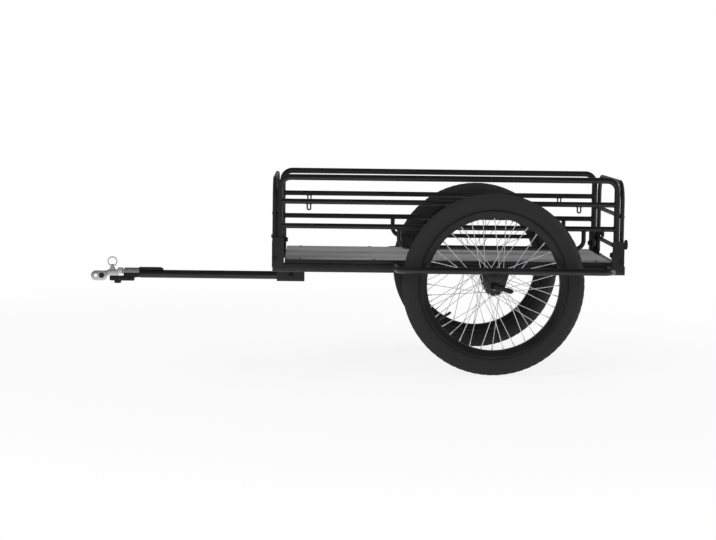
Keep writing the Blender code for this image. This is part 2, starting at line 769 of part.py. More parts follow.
def build_corner_bracket(end, way, side, sign):
    """An angle of plate: one leg outside both posts, one ear beside the side panel's post."""
    side_x = SIDE_REAR_X if way > 0 else SIDE_FRONT_X
    end_x = END_REAR_X if way > 0 else END_FRONT_X
    ear_far = side_x - way * (SIDE_TUBE_RADIUS + POST_GAP)
    ear_near = ear_far - way * BRACKET_THICKNESS
    plate_inner = RAIL_Y + RAIL_SIZE / 2 + GAP
    plate_outer = plate_inner + BRACKET_THICKNESS
    hole = PIVOT_RADIUS + 0.0003
    edge = end_x + way * (END_TUBE_RADIUS + 0.0005)
    corner = 0.006

    def outline_x(u):
        return edge - way * u

    width = abs(edge - ear_near)
    leg = [
        (outline_x(0.0), BRACKET_BOTTOM_Z),
        (outline_x(width), BRACKET_BOTTOM_Z),
        (outline_x(width), BRACKET_TOP_Z - corner),
        (outline_x(width - corner), BRACKET_TOP_Z),
        (outline_x(corner), BRACKET_TOP_Z),
        (outline_x(0.0), BRACKET_TOP_Z - corner),
    ]
    ear_low = RAIL_Z + RAIL_SIZE / 2 + GAP
    ear_radius = 0.0090
    ear = [(sign * plate_outer, ear_low), (sign * plate_outer, SIDE_HINGE_Z + ear_radius)]
    ear += [(sign * y, z) for y, z in arc_outline((RAIL_Y, SIDE_HINGE_Z), ear_radius, 90, 180, 5)]
    ear += [(sign * (RAIL_Y - ear_radius), ear_low)]
    leg_faces = sorted((sign * plate_inner, sign * plate_outer))
    ear_faces = sorted((ear_far, ear_near))
    side_hinge = ((side_x - 0.03, sign * RAIL_Y, SIDE_HINGE_Z), (side_x + 0.03, sign * RAIL_Y, SIDE_HINGE_Z))
    end_hinge = ((end_x, sign * (RAIL_Y - 0.01), END_HINGE_Z), (end_x, sign * (RAIL_Y + 0.04), END_HINGE_Z))

    def add_cut(bm):
        add_rod(bm, *side_hinge, hole, 10)
        add_rod(bm, *end_hinge, hole, 10)

    node(
        f"corner_bracket_{end}_{side}",
        "black_paint",
        lambda bm: add_prism(bm, leg, xz_plate, *leg_faces),
        joined=lambda bm: add_prism(bm, ear, yz_plate, *ear_faces),
        cut=add_cut,
    )


def add_hex_bolt(bm, head_face, way, head_thickness, head_radius):
    """The head stands on head_face and points away from way."""
    add_rod(bm, head_face, head_face - way * head_thickness, head_radius, 6)


def build_side_hinge_bolt(end, way, side, sign):
    """Runs through the bracket's ear into the side panel's post."""
    side_x = SIDE_REAR_X if way > 0 else SIDE_FRONT_X
    along = Vector((way, 0, 0))
    ear_face = side_x - way * (SIDE_TUBE_RADIUS + POST_GAP + BRACKET_THICKNESS + GAP)
    head_face = Vector((ear_face, sign * RAIL_Y, SIDE_HINGE_Z))
    tip = Vector((side_x + way * (SIDE_TUBE_RADIUS - 0.001), sign * RAIL_Y, SIDE_HINGE_Z))
    node(
        f"side_hinge_bolt_{end}_{side}",
        "black_zinc",
        lambda bm: add_hex_bolt(bm, head_face, along, 0.0048, 0.0075),
        joined=lambda bm: add_rod(bm, head_face - along * 0.002, tip, PIVOT_RADIUS, 12),
    )


def build_end_hinge_bolt(end, way, side, sign):
    """Runs through the bracket's leg and the end panel's post, across the trailer."""
    end_x = END_REAR_X if way > 0 else END_FRONT_X
    inwards = Vector((0, -sign, 0))
    plate_outer = RAIL_Y + RAIL_SIZE / 2 + GAP + BRACKET_THICKNESS + GAP
    head_face = Vector((end_x, sign * plate_outer, END_HINGE_Z))
    tip = Vector((end_x, sign * (RAIL_Y - END_TUBE_RADIUS - 0.006), END_HINGE_Z))
    node(
        f"end_hinge_bolt_{end}_{side}",
        "black_zinc",
        lambda bm: add_hex_bolt(bm, head_face, inwards, 0.0042, 0.0070),
        joined=lambda bm: add_rod(bm, head_face - inwards * 0.002, tip, PIVOT_RADIUS, 12),
    )


# Drawbar and hitch.


def build_receiver():
    """A square socket under the front cross rail, with a round bore for the drawbar."""
    half = RECEIVER_HALF_SIZE
    plate_top = RAIL_Z - RAIL_SIZE / 2 - GAP
    plate_half_width = 0.035
    low = (RECEIVER_FRONT_X, -half, TOW_Z - half)
    high = (RECEIVER_REAR_X, half, TOW_Z + half)
    plate_low = (FRAME_FRONT_X + 0.001, -plate_half_width, plate_top - 0.004)
    plate_high = (RECEIVER_REAR_X + 0.006, plate_half_width, plate_top)
    web_low = (RECEIVER_FRONT_X + 0.004, -0.012, TOW_Z + half - 0.002)
    web_high = (RECEIVER_REAR_X - 0.004, 0.012, plate_top - 0.002)

    def add_joined(bm):
        add_box(bm, plate_low, plate_high)
        add_box(bm, web_low, web_high)

    def add_cut(bm):
        bore = TOW_RADIUS + GAP
        add_rod(bm, (RECEIVER_FRONT_X - 0.01, 0, TOW_Z), (RECEIVER_REAR_X + 0.01, 0, TOW_Z), bore, ROUND_STEPS)
        add_rod(bm, (RECEIVER_PIN_X, -0.04, TOW_Z), (RECEIVER_PIN_X, 0.04, TOW_Z), 0.0043, 10)

    node("receiver", "black_paint", lambda bm: add_box(bm, low, high), joined=add_joined, cut=add_cut)


def build_receiver_pin():
    """A pull pin across the receiver and the drawbar, with a flat grip."""
    head_y = -(RECEIVER_HALF_SIZE + GAP)
    stations = [(0.0, 0.0040), (0.0, 0.0080), (0.004, 0.0080), (0.0052, 0.0068)]
    stations = [(-(2 * RECEIVER_HALF_SIZE + 0.005), 0.0040)] + stations
    pin = node(
        "receiver_pin",
        "black_zinc",
        lambda bm: add_turned_bar(bm, stations, (RECEIVER_PIN_X, head_y, TOW_Z), (0, -1, 0), 12),
    )
    hang_on_pivot("receiver_pin", (RECEIVER_PIN_X, head_y, TOW_Z), [pin])


def build_tow_bar():
    start = (TOW_FRONT_X, 0, TOW_Z)
    end = (RECEIVER_REAR_X - 0.004, 0, TOW_Z)
    node(
        "tow_bar",
        "black_paint",
        lambda bm: add_pipe(bm, start, end, TOW_RADIUS, TOW_WALL),
        cut=lambda bm: add_rod(bm, (RECEIVER_PIN_X, -0.02, TOW_Z), (RECEIVER_PIN_X, 0.02, TOW_Z), 0.0043, 10),
    )


def build_drawbar_end():
    """A forging plugged into the drawbar: neck, top strap and the lower jaw that carries the hitch pin."""
    half = 0.0105
    neck_front = HITCH_PIN_X + 0.0335
    neck_rear = TOW_FRONT_X - GAP
    nose_centre = (HITCH_PIN_X + 0.0020, 0)
    jaw = [(JAW_REAR_X, -half), (JAW_REAR_X, half)] + arc_outline(nose_centre, half, 90, 270, 8)
    strap_low = TOW_Z + TOW_RADIUS + GAP
    strap_top = strap_low + 0.0072
    strap = [
        (neck_rear - 0.004, strap_low),
        (STRAP_REAR_X, strap_low),
        (STRAP_REAR_X, strap_low + 0.0030),
        (STRAP_REAR_X - 0.008, strap_top),
        (neck_rear - 0.001, strap_top),
        (neck_rear - 0.004, NECK_TOP_Z - 0.001),
    ]
    neck = [
        (neck_front, 0.2300),
        (JAW_REAR_X + 0.0054, 0.2365),
        (neck_rear, 0.2375),
        (neck_rear, NECK_TOP_Z),
        (neck_front + 0.004, NECK_TOP_Z),
        (neck_front, NECK_TOP_Z - 0.003),
    ]

    def add_joined(bm):
        add_prism(bm, jaw, xy_plate, JAW_BOTTOM_Z, JAW_TOP_Z - GAP)
        add_prism(bm, strap, xz_plate, -0.0085, 0.0085)
        plug = TOW_RADIUS - TOW_WALL - GAP
        add_rod(bm, (neck_rear - 0.003, 0, TOW_Z), (neck_rear + 0.035, 0, TOW_Z), plug, ROUND_STEPS)

    def add_cut(bm):
        add_rod(bm, (HITCH_PIN_X, 0, 0.21), (HITCH_PIN_X, 0, 0.25), 0.0047, 12)
        add_rod(bm, (JAW_BOLT_X, 0, 0.21), (JAW_BOLT_X, 0, JAW_BOTTOM_Z + 0.0095), PIVOT_RADIUS + GAP, 12)

    node(
        "drawbar_end",
        "black_zinc",
        lambda bm: add_prism(bm, neck, xz_plate, -half + 0.0005, half - 0.0005),
        joined=add_joined,
        cut=add_cut,
    )
    head_face = Vector((JAW_BOLT_X, 0, JAW_BOTTOM_Z - GAP))
    tip = head_face + Vector((0, 0, 0.0088))
    node(
        "jaw_bolt",
        "black_zinc",
        lambda bm: add_hex_bolt(bm, head_face, Vector((0, 0, 1)), 0.0072, 0.0112),
        joined=lambda bm: add_rod(bm, head_face - Vector((0, 0, 0.002)), tip, PIVOT_RADIUS, 12),
    )


def build_coupler():
    """The swivelling block: raised and round at the back, with a lug at the front for the pitch bolt."""
    half = 0.0112
    bottom = JAW_TOP_Z + 0.0010
    front = HITCH_PIN_X - 0.0135
    raised_front = HITCH_PIN_X + 0.0163
    block_rear = raised_front + 0.0010
    raised_low = bottom + 0.0061
    rear_radius = 0.0322
    spread = math.degrees(math.asin(half / rear_radius))
    block = [(front, half), (front, -half), (block_rear, -half), (block_rear, half)]
    raised = [(raised_front, half - 0.0003), (raised_front, -half + 0.0003)]
    raised += arc_outline((HITCH_PIN_X, 0), rear_radius, -spread + 0.6, spread - 0.6, 4)
    lug_front = HITCH_PITCH_X - 0.0111
    lug = [
        (front + 0.0010, HITCH_PITCH_Z + 0.0130),
        (lug_front + 0.0035, HITCH_PITCH_Z + 0.0105),
        (lug_front, HITCH_PITCH_Z + 0.0065),
        (lug_front, HITCH_PITCH_Z - 0.0060),
        (lug_front + 0.0045, HITCH_PITCH_Z - 0.0105),
        (HITCH_PITCH_X + 0.0054, HITCH_PITCH_Z - 0.0105),
        (front + 0.0010, HITCH_PITCH_Z + 0.0003),
    ]

    def add_joined(bm):
        add_prism(bm, raised, xy_plate, raised_low, NECK_TOP_Z)
        add_prism(bm, lug, xz_plate, -half + 0.0004, half - 0.0004)

    def add_cut(bm):
        add_rod(bm, (HITCH_PIN_X, 0, 0.21), (HITCH_PIN_X, 0, 0.28), 0.0047, 12)
        add_rod(bm, (HITCH_PITCH_X, -0.03, HITCH_PITCH_Z), (HITCH_PITCH_X, 0.03, HITCH_PITCH_Z), 0.0043, 12)

    coupler = node(
        "coupler_block",
        "zinc",
        lambda bm: add_prism(bm, block, xy_plate, bottom, BLOCK_TOP_Z),
        joined=add_joined,
        cut=add_cut,
    )
    hang_on_pivot("coupler", (HITCH_PIN_X, 0, BLOCK_TOP_Z), [coupler])


def build_hitch_pin():
    """The pin drops through the coupler and the jaw; its head carries the pull ring."""
    foot = BLOCK_TOP_Z + GAP
    hole_z = foot + 0.0112
    hole_start = Vector((HITCH_PIN_X - 0.02, 0, hole_z))
    stations = [
        (-0.0315, 0.0025),
        (-0.0295, 0.0043),
        (0.0, 0.0043),
        (0.0, 0.0080),
        (0.0075, 0.0080),
        (0.0075, 0.0043),
        (0.0142, 0.0043),
        (0.0157, 0.0033),
    ]
    pin = node(
        "hitch_pin",
        "zinc",
        lambda bm: add_turned_bar(bm, stations, (HITCH_PIN_X, 0, foot), (0, 0, 1), 12),
        cut=lambda bm: add_rod(bm, hole_start, hole_start + Vector((0.04, 0, 0)), 0.0025, 12),
    )
    hang_on_pivot("hitch_pin", (HITCH_PIN_X, 0, foot), [pin])
    steps = 20
    ring_sag = 0.0003
    centre = Vector((HITCH_PIN_X, 0, hole_z + RING_RADIUS - ring_sag))
    profile = arc_outline((0.0, RING_RADIUS), RING_WIRE_RADIUS, 0, 300, 5)
    ring = node("pull_ring", "chrome", lambda bm: add_turned_ring(bm, profile, centre, steps))
    hang_on_pivot("pull_ring", (HITCH_PIN_X, 0, hole_z), [ring])


def build_axle_plate():
    """An oval plate that hangs on the bicycle's axle, and the bolt it pitches on."""
    half_length = 0.0242
    end_radius = 0.0148
    straight = half_length - end_radius
    outline = arc_outline((AXLE_PLATE_X + straight, AXLE_PLATE_Z), end_radius, -90, 90, 8)
    outline += arc_outline((AXLE_PLATE_X - straight, AXLE_PLATE_Z), end_radius, 90, 270, 8)
    faces = (-(AXLE_PLATE_Y + 0.0030), -AXLE_PLATE_Y)

    def add_cut(bm):
        add_rod(bm, (HITCH_PITCH_X, -0.03, HITCH_PITCH_Z), (HITCH_PITCH_X, 0.0, HITCH_PITCH_Z), 0.0043, 12)
        add_rod(bm, (AXLE_HOLE_X, -0.03, AXLE_PLATE_Z), (AXLE_HOLE_X, 0.0, AXLE_PLATE_Z), 0.0049, 12)

    plate = node("axle_plate", "zinc", lambda bm: add_prism(bm, outline, xz_plate, *faces), cut=add_cut)
    hang_on_pivot("axle_plate", (HITCH_PITCH_X, 0, HITCH_PITCH_Z), [plate])
    head_face = Vector((HITCH_PITCH_X, -(AXLE_PLATE_Y + 0.0030 + GAP), HITCH_PITCH_Z))
    tip = Vector((HITCH_PITCH_X, 0.0140, HITCH_PITCH_Z))
    node(
        "pitch_bolt",
        "black_zinc",
        lambda bm: add_hex_bolt(bm, head_face, Vector((0, 1, 0)), 0.0050, 0.0085),
        joined=lambda bm: add_rod(bm, head_face - Vector((0, 0.002, 0)), tip, PIVOT_RADIUS, 12),
    )


def build():
    clear_scene()
    build_rails()
    build_deck()
    build_wheel_supports()
    for side, sign in SIDES:
        build_wheel(side, sign)
        build_axle(side, sign)
        build_axle_lever(side, sign)
        build_side_panel(side, sign)
        build_lock_knob(END_REAR_X, side, sign)
        for end, way in ENDS:
            build_corner_bracket(end, way, side, sign)
            build_side_hinge_bolt(end, way, side, sign)
            build_end_hinge_bolt(end, way, side, sign)
    front = build_end_panel("front_panel", END_FRONT_X, LOCK_Z_FRONT)
    hang_on_pivot("front_panel", (END_FRONT_X, 0, END_HINGE_Z), [front] + build_lock_bolts(END_FRONT_X))
    tailgate = build_end_panel("tailgate", END_REAR_X, LOCK_Z_REAR)
    hang_on_pivot("tailgate", (END_REAR_X, 0, END_HINGE_Z), [tailgate])
    build_receiver()
    build_receiver_pin()
    build_tow_bar()
    build_drawbar_end()
    build_coupler()
    build_hitch_pin()
    build_axle_plate()


build()
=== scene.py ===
"""Dresses a two-wheeled bicycle cargo trailer and sets it on a pale studio floor.

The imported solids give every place. Round tube, turned parts, tyres, spokes and fasteners are
made again here at full smoothness in the same places, and the plates and the board keep their
solids. X runs from the hitch to the tailgate, Y across the trailer, Z up, all in metres.
"""

import logging
import math
from collections.abc import Callable, Sequence
from dataclasses import dataclass
from enum import Enum
from functools import cache
from typing import Protocol

import bmesh
import bpy
from mathutils import Matrix, Vector


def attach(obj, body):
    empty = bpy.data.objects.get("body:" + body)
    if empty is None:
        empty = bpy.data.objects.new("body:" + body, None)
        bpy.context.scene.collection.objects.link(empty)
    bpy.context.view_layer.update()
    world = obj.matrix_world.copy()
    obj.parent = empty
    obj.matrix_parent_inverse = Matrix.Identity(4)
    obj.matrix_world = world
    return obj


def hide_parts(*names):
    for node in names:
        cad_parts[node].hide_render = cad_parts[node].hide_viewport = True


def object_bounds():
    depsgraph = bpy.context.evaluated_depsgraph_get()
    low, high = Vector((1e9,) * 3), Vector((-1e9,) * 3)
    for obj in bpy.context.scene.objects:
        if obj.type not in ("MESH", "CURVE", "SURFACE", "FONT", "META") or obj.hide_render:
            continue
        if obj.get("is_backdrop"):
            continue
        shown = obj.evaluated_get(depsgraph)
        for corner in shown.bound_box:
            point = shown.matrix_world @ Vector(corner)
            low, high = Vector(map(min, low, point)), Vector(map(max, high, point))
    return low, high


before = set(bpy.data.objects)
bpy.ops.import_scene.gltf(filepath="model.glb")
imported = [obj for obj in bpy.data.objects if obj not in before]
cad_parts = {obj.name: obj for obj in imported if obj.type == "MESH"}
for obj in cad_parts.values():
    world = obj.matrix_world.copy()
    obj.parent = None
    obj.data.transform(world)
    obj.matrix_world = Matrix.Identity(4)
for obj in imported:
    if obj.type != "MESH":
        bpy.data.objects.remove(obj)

LOG = logging.getLogger("trailer")
Obj, Mesh, Node, Socket = bpy.types.Object, bpy.types.Mesh, bpy.types.Node, bpy.types.NodeSocket
Pair = tuple[float, float]
Point = tuple[float, float, float]
Outline = Sequence[Pair]
Path = Sequence[Sequence[float]]
Texture = tuple[Socket, Socket, Socket]
Plane = Callable[[float, float, float], Vector]


class Tagged(Enum):
    """A place on the trailer whose value is a sign."""

    @property
    def tag(self) -> str:
        """The place's word in node names."""
        return self.name.lower()


class Side(Tagged):
    """The trailer's two sides, as the sign of Y."""

    LEFT = -1
    RIGHT = 1


class End(Tagged):
    """The trailer's two ends, as the sign of X."""

    FRONT = -1
    REAR = 1


# Sizes that several sub-assemblies share.

GAP = 0.0003
AXLE_X, AXLE_Z, HALF_TRACK = 0.38645, 0.257, 0.310
RAIL_Y, RAIL_Z, RAIL_SIZE = 0.2245, 0.2921, 0.025
RAIL_FACE = RAIL_Y + RAIL_SIZE / 2
BRACKET = 0.0025
SIDE_PANEL_XS = {End.FRONT: AXLE_X - 0.602, End.REAR: AXLE_X + 0.357}
SIDE_TUBE, SIDE_HINGE_Z = 0.0085, 0.3365
END_PANEL_XS = {End.FRONT: AXLE_X - 0.61755, End.REAR: AXLE_X + 0.37255}
END_TUBE, END_HINGE_Z = 0.00625, 0.318
LOCK_ZS = {End.FRONT: 0.380, End.REAR: 0.367}
OUTER_BAR_Y = 0.365
DROPOUT = 0.004
TOW_BAR_Z, TOW_BAR_RADIUS, TOW_BAR_WALL, TOW_FRONT_X = 0.2472, 0.012, 0.0015, AXLE_X - 1.019
HITCH_X = AXLE_X - 1.1000


# Finishes.


class NodeDesk:
    """Adds nodes to one shader or geometry tree and wires them."""

    def __init__(self, tree: bpy.types.NodeTree) -> None:
        """Starts on a tree."""
        self.tree = tree

    def add(self, kind: str, settings: dict[str, object] | None = None, **inputs: object) -> Node:
        """Adds a node.

        Args:
            kind: the node's type name.
            settings: properties to set on the node itself.
            inputs: values or output sockets by input name, with _ for a blank.

        Returns:
            The new node.
        """
        node = self.tree.nodes.new(kind)
        for key, value in (settings or {}).items():
            setattr(node, key, value)
        for key, value in inputs.items():
            self.feed(node.inputs[key.replace("_", " ")], value)
        return node

    def feed(self, socket: Socket, value: object) -> None:
        """Links an output socket to an input, or sets a plain value on it."""
        if isinstance(value, Socket):
            self.tree.links.new(value, socket)
        else:
            socket.default_value = value

    def math(self, operation: str, *values: object, clamp: bool = False) -> Socket:
        """Adds a Math node.

        Args:
            operation: the operation's name.
            values: its inputs in order, sockets or plain values.
            clamp: holds the result between 0 and 1.

        Returns:
            The node's output.
        """
        node = self.add("ShaderNodeMath", {"operation": operation, "use_clamp": clamp})
        for socket, value in zip(node.inputs, values):
            self.feed(socket, value)
        return node.outputs[0]

    def ramp(self, value: Socket, low: object, high: object, start: float = 0.0, stop: float = 1.0) -> Socket:
        """Maps a value smoothly onto a range of numbers.

        Args:
            value: socket to map.
            low: result at start.
            high: result at stop.
            start: value that gives low.
            stop: value that gives high.

        Returns:
            The mapped output.
        """
        node = self.add("ShaderNodeMapRange", {"interpolation_type": "SMOOTHSTEP"}, Value=value)
        for name, item in (("From Min", start), ("From Max", stop), ("To Min", low), ("To Max", high)):
            self.feed(node.inputs[name], item)
        return node.outputs[0]

    def tint(self, share: object, low: object, high: object) -> Socket:
        """Blends two colours.

        Args:
            share: 0 gives low, 1 gives high.
            low: first colour, three numbers or a socket.
            high: second colour, likewise.

        Returns:
            The blended colour.
        """
        node = self.add("ShaderNodeMix", {"data_type": "RGBA"})
        colours = [(*item, 1.0) if isinstance(item, tuple) else item for item in (low, high)]
        for index, value in zip((0, 6, 7), (share, *colours)):
            self.feed(node.inputs[index], value)
        return node.outputs[2]

    def noise(self, place: Socket, scale: float, detail: float = 2.0, roughness: float = 0.5) -> Socket:
        """Adds a noise texture.

        Args:
            place: coordinate socket.
            scale: cells per metre.
            detail: octaves.
            roughness: strength of the finer octaves.

        Returns:
            The noise factor.
        """
        node = self.add("ShaderNodeTexNoise", Vector=place, Scale=scale, Detail=detail, Roughness=roughness)
        return node.outputs["Fac"]


class PaintDesk(NodeDesk):
    """The desk of one material: it knows the Principled node and the object coordinates."""

    def __init__(self, tree: bpy.types.NodeTree) -> None:
        """Starts on a material's tree."""
        super().__init__(tree)
        self.shader = tree.nodes["Principled BSDF"]
        self.place = self.add("ShaderNodeTexCoord").outputs["Object"]

    def mapped(self, **inputs: object) -> Socket:
        """Gives the object coordinates, moved, turned or scaled by a Mapping node's inputs."""
        return self.add("ShaderNodeMapping", Vector=self.place, **inputs).outputs["Vector"]

    def cloud(
        self,
        scale: float,
        detail: float,
        span: Pair,
        roughness: float = 0.5,
        results: Pair = (0.0, 1.0),
        place: Socket | None = None,
    ) -> Socket:
        """Adds noise and stretches a span of its values.

        Args:
            scale: cells per metre.
            detail: octaves.
            span: noise values that give the two results.
            roughness: strength of the finer octaves.
            results: values at the span's ends.
            place: coordinate socket, the object's own if left out.

        Returns:
            The stretched output.
        """
        place = self.place if place is None else place
        return self.ramp(self.noise(place, scale, detail, roughness), *results, *span)

    def bump(self, height: Socket, strength: float, distance: float, normal: Socket | None = None) -> Socket:
        """Adds a bump.

        Args:
            height: height socket.
            strength: how strongly it shows.
            distance: the height of 1, in metres.
            normal: the normal it builds on.

        Returns:
            The bumped normal.
        """
        node = self.add("ShaderNodeBump", Strength=strength, Distance=distance, Height=height)
        if normal is not None:
            self.feed(node.inputs["Normal"], normal)
        return node.outputs["Normal"]


@dataclass(frozen=True)
class Finish:
    """A finish: fixed shader values, and a method that draws its texture."""

    name: str
    slot: str
    dark: Point
    light: Point
    roughness: Pair
    metallic: float = 0.0
    coat: float = 0.0
    specular: float = 0.5
    coat_roughness: float = 0.18

    def material(self) -> bpy.types.Material:
        """Gives the finish's material, made on first use."""
        found = bpy.data.materials.get(self.name)
        if found:
            return found
        made = bpy.data.materials.new(self.name)
        made.use_nodes = True
        desk = PaintDesk(made.node_tree)
        fixed = (self.metallic, self.coat, self.coat_roughness, self.specular)
        for name, value in zip(("Metallic", "Coat Weight", "Coat Roughness", "Specular IOR Level"), fixed):
            desk.feed(desk.shader.inputs[name], value)
        for name, socket in zip(("Base Color", "Roughness", "Normal"), self.draw(desk)):
            desk.feed(desk.shader.inputs[name], socket)
        return made

    def draw(self, desk: PaintDesk) -> Texture:
        """Draws the texture on the material's desk, and gives colour, roughness and normal."""
        raise NotImplementedError

    def lifted(self, factor: float) -> Point:
        """The light colour times a factor."""
        return tuple(value * factor for value in self.light)


@dataclass(frozen=True)
class PowderCoat(Finish):
    """Satin powder coat with orange peel and a few dull rubbed spots."""

    rub_share: float = 0.35
    rub_lift: float = 2.6
    rub_dulling: float = 0.16

    def draw(self, desk: PaintDesk) -> Texture:
        """Draws the coat, its rubbed spots and its peel."""
        rubbed = desk.cloud(70.0, 5.0, (0.66, 0.74), 0.62)
        base = desk.tint(desk.cloud(7.0, 4.0, (0.35, 0.68)), self.dark, self.light)
        colour = desk.tint(desk.math("MULTIPLY", rubbed, self.rub_share), base, self.lifted(self.rub_lift))
        rough = desk.cloud(30.0, 3.0, (0.3, 0.7), results=self.roughness)
        rough = desk.math("ADD", rough, desk.math("MULTIPLY", rubbed, self.rub_dulling), clamp=True)
        peel = desk.bump(desk.noise(desk.place, 620.0, 1.5), 0.10, 0.0004)
        return colour, rough, desk.bump(rubbed, 0.05, 0.0001, peel)


@dataclass(frozen=True)
class FilmBoard(Finish):
    """Deck board: a grey film pressed with a fine non-slip grain, with painted shade on its standing edge
    faces.
    """

    # Painted shade: the dark colour that the board's standing edge faces take.
    edge: Point = (0.012, 0.012, 0.013)
    grain_pitch: float = 0.0034
    band_share: float = 0.6

    def draw(self, desk: PaintDesk) -> Texture:
        """Draws the film's bands and streaks, its grain and scuffs, and the painted shade on the standing
        edges.
        """
        pressed = {"Scale": 1 / self.grain_pitch, "Smoothness": 0.6}
        grain = desk.add("ShaderNodeTexVoronoi", {"feature": "SMOOTH_F1"}, Vector=desk.place, **pressed)
        dots = desk.ramp(grain.outputs["Distance"], 1.0, 0.0, 0.12, 0.5)
        streaks = desk.cloud(3.0, 5.0, (0.3, 0.72), 0.6, place=desk.mapped(Scale=(2.0, 26.0, 2.0)))
        scuff_place = desk.mapped(Rotation=(0.0, 0.0, 0.5), Scale=(4.0, 150.0, 4.0))
        scuffs = desk.cloud(2.6, 3.0, (0.66, 0.76), 0.55, place=scuff_place)
        bands = desk.cloud(1.0, 3.0, (0.40, 0.60), 0.55, place=desk.mapped(Scale=(1.2, 7.5, 1.0)))
        share = desk.math("MULTIPLY", streaks, 1.0 - self.band_share)
        share = desk.math("ADD", share, desk.math("MULTIPLY", bands, self.band_share), clamp=True)
        film = desk.tint(share, self.dark, self.light)
        film = desk.tint(desk.math("MULTIPLY", dots, 0.22), film, self.lifted(1.5))
        film = desk.tint(desk.math("MULTIPLY", scuffs, 0.30), film, self.lifted(1.7))
        # Painted shade: faces that stand up take the dark edge colour, and faces that lie flat keep the film.
        facing = desk.add("ShaderNodeTexCoord").outputs["Normal"]
        upright = desk.add("ShaderNodeSeparateXYZ", Vector=facing).outputs["Z"]
        flat = desk.ramp(desk.math("ABSOLUTE", upright), 0.0, 1.0, 0.55, 0.8)
        normal = desk.bump(scuffs, 0.08, 0.0002, desk.bump(dots, 0.30, 0.00025))
        return desk.tint(flat, self.edge, film), desk.ramp(streaks, *self.roughness), normal


@dataclass(frozen=True)
class WheelFinish(Finish):
    """A finish turned about the wheels' axle line: fine rings, and dust that gathers outwards."""

    ring_pitch: float = 0.0016
    ring_bump: float = 0.12
    dust: Point = (0.05, 0.048, 0.045)
    dust_radii: Pair = (0.235, 0.262)
    dust_share: float = 0.0

    def draw(self, desk: PaintDesk) -> Texture:
        """Draws rings and dust by distance from the axle."""
        centred = desk.mapped(Location=(-AXLE_X, 0.0, -AXLE_Z))
        parts = desk.add("ShaderNodeSeparateXYZ", Vector=centred).outputs
        flat = desk.add("ShaderNodeCombineXYZ", X=parts["X"], Z=parts["Z"]).outputs[0]
        radius = desk.add("ShaderNodeVectorMath", {"operation": "LENGTH"}, Vector=flat).outputs["Value"]
        wobble = desk.math("MULTIPLY", desk.noise(desk.place, 14.0, 2.0), self.ring_pitch * 1.5)
        turns = desk.math("MULTIPLY", desk.math("ADD", radius, wobble), 2 * math.pi / self.ring_pitch)
        rings = desk.math("MULTIPLY_ADD", desk.math("SINE", turns), 0.5, 0.5)
        broad = desk.cloud(16.0, 5.0, (0.3, 0.7), 0.6)
        reach = desk.ramp(radius, 0.0, self.dust_share, *self.dust_radii)
        dusty = desk.math("MULTIPLY", reach, desk.cloud(60.0, 4.0, (0.35, 0.65), results=(0.2, 1.0)))
        colour = desk.tint(dusty, desk.tint(broad, self.dark, self.light), self.dust)
        grit = desk.bump(desk.noise(desk.place, 900.0, 2.0), 0.10, 0.0003)
        return colour, desk.ramp(broad, *self.roughness), desk.bump(rings, self.ring_bump, 0.0002, grit)


@dataclass(frozen=True)
class PlatedMetal(Finish):
    """Plated or drawn metal: faint crystals, fine drawing lines and a dull bloom."""

    crystal_pitch: float = 0.004
    crystal_share: float = 0.45
    line_scale: Point = (40.0, 700.0, 700.0)

    def draw(self, desk: PaintDesk) -> Texture:
        """Draws the plating."""
        cells = desk.add("ShaderNodeTexVoronoi", Vector=desk.place, Scale=1 / self.crystal_pitch)
        crystal = desk.add("ShaderNodeSeparateXYZ", Vector=cells.outputs["Color"]).outputs["X"]
        bloom = desk.cloud(55.0, 4.0, (0.35, 0.7), 0.6)
        shade = desk.math("MULTIPLY", bloom, 1.0 - self.crystal_share)
        shade = desk.math("ADD", desk.math("MULTIPLY", crystal, self.crystal_share), shade, clamp=True)
        lines = desk.noise(desk.mapped(Scale=self.line_scale), 1.0, 2.0)
        colour = desk.tint(shade, self.dark, self.light)
        return colour, desk.ramp(bloom, *self.roughness), desk.bump(lines, 0.06, 0.0002)


@dataclass(frozen=True)
class MouldedPlastic(Finish):
    """Moulded plastic or soft rubber with a spark-eroded grain."""

    grain: float = 1400.0

    def draw(self, desk: PaintDesk) -> Texture:
        """Draws the grain."""
        broad = desk.cloud(40.0, 3.0, (0.3, 0.7))
        normal = desk.bump(desk.noise(desk.place, self.grain, 1.0), 0.22, 0.0002)
        return desk.tint(broad, self.dark, self.light), desk.ramp(broad, *self.roughness), normal


def grey(dark: float, light: float, blue: float = 1.03) -> dict[str, Point]:
    """The dark and light fields of a near-neutral finish; blue scales the third channel."""
    return {"dark": (dark, dark, dark * blue), "light": (light, light, light * blue)}


BLACK_PAINT = PowderCoat(
    "black_powder_coat",
    "black_paint",
    roughness=(0.28, 0.40),
    coat=0.30,
    specular=0.45,
    **grey(0.0070, 0.0125),
)
DECK_BOARD = FilmBoard("grey_film_board", "deck_board", roughness=(0.52, 0.66), **grey(0.120, 0.310))
TYRE_RUBBER = WheelFinish(
    "tyre_rubber",
    "tyre_rubber",
    roughness=(0.62, 0.78),
    dust_share=0.35,
    specular=0.3,
    **grey(0.0120, 0.0190),
)
RIM_PAINT = WheelFinish(
    "black_rim_anodise",
    "rim_black",
    roughness=(0.30, 0.42),
    metallic=0.5,
    ring_bump=0.05,
    **grey(0.0180, 0.0270),
)
TUBE_RUBBER = MouldedPlastic("valve_rubber", "tube_rubber", roughness=(0.55, 0.70), **grey(0.020, 0.032))
SPOKE_WIRE = PlatedMetal(
    "bright_spoke_wire", "spoke_steel", roughness=(0.26, 0.38), metallic=0.6, **grey(0.80, 0.92)
)
ZINC_PLATE = PlatedMetal("zinc_plating", "zinc", roughness=(0.28, 0.44), metallic=0.9, **grey(0.60, 0.82))
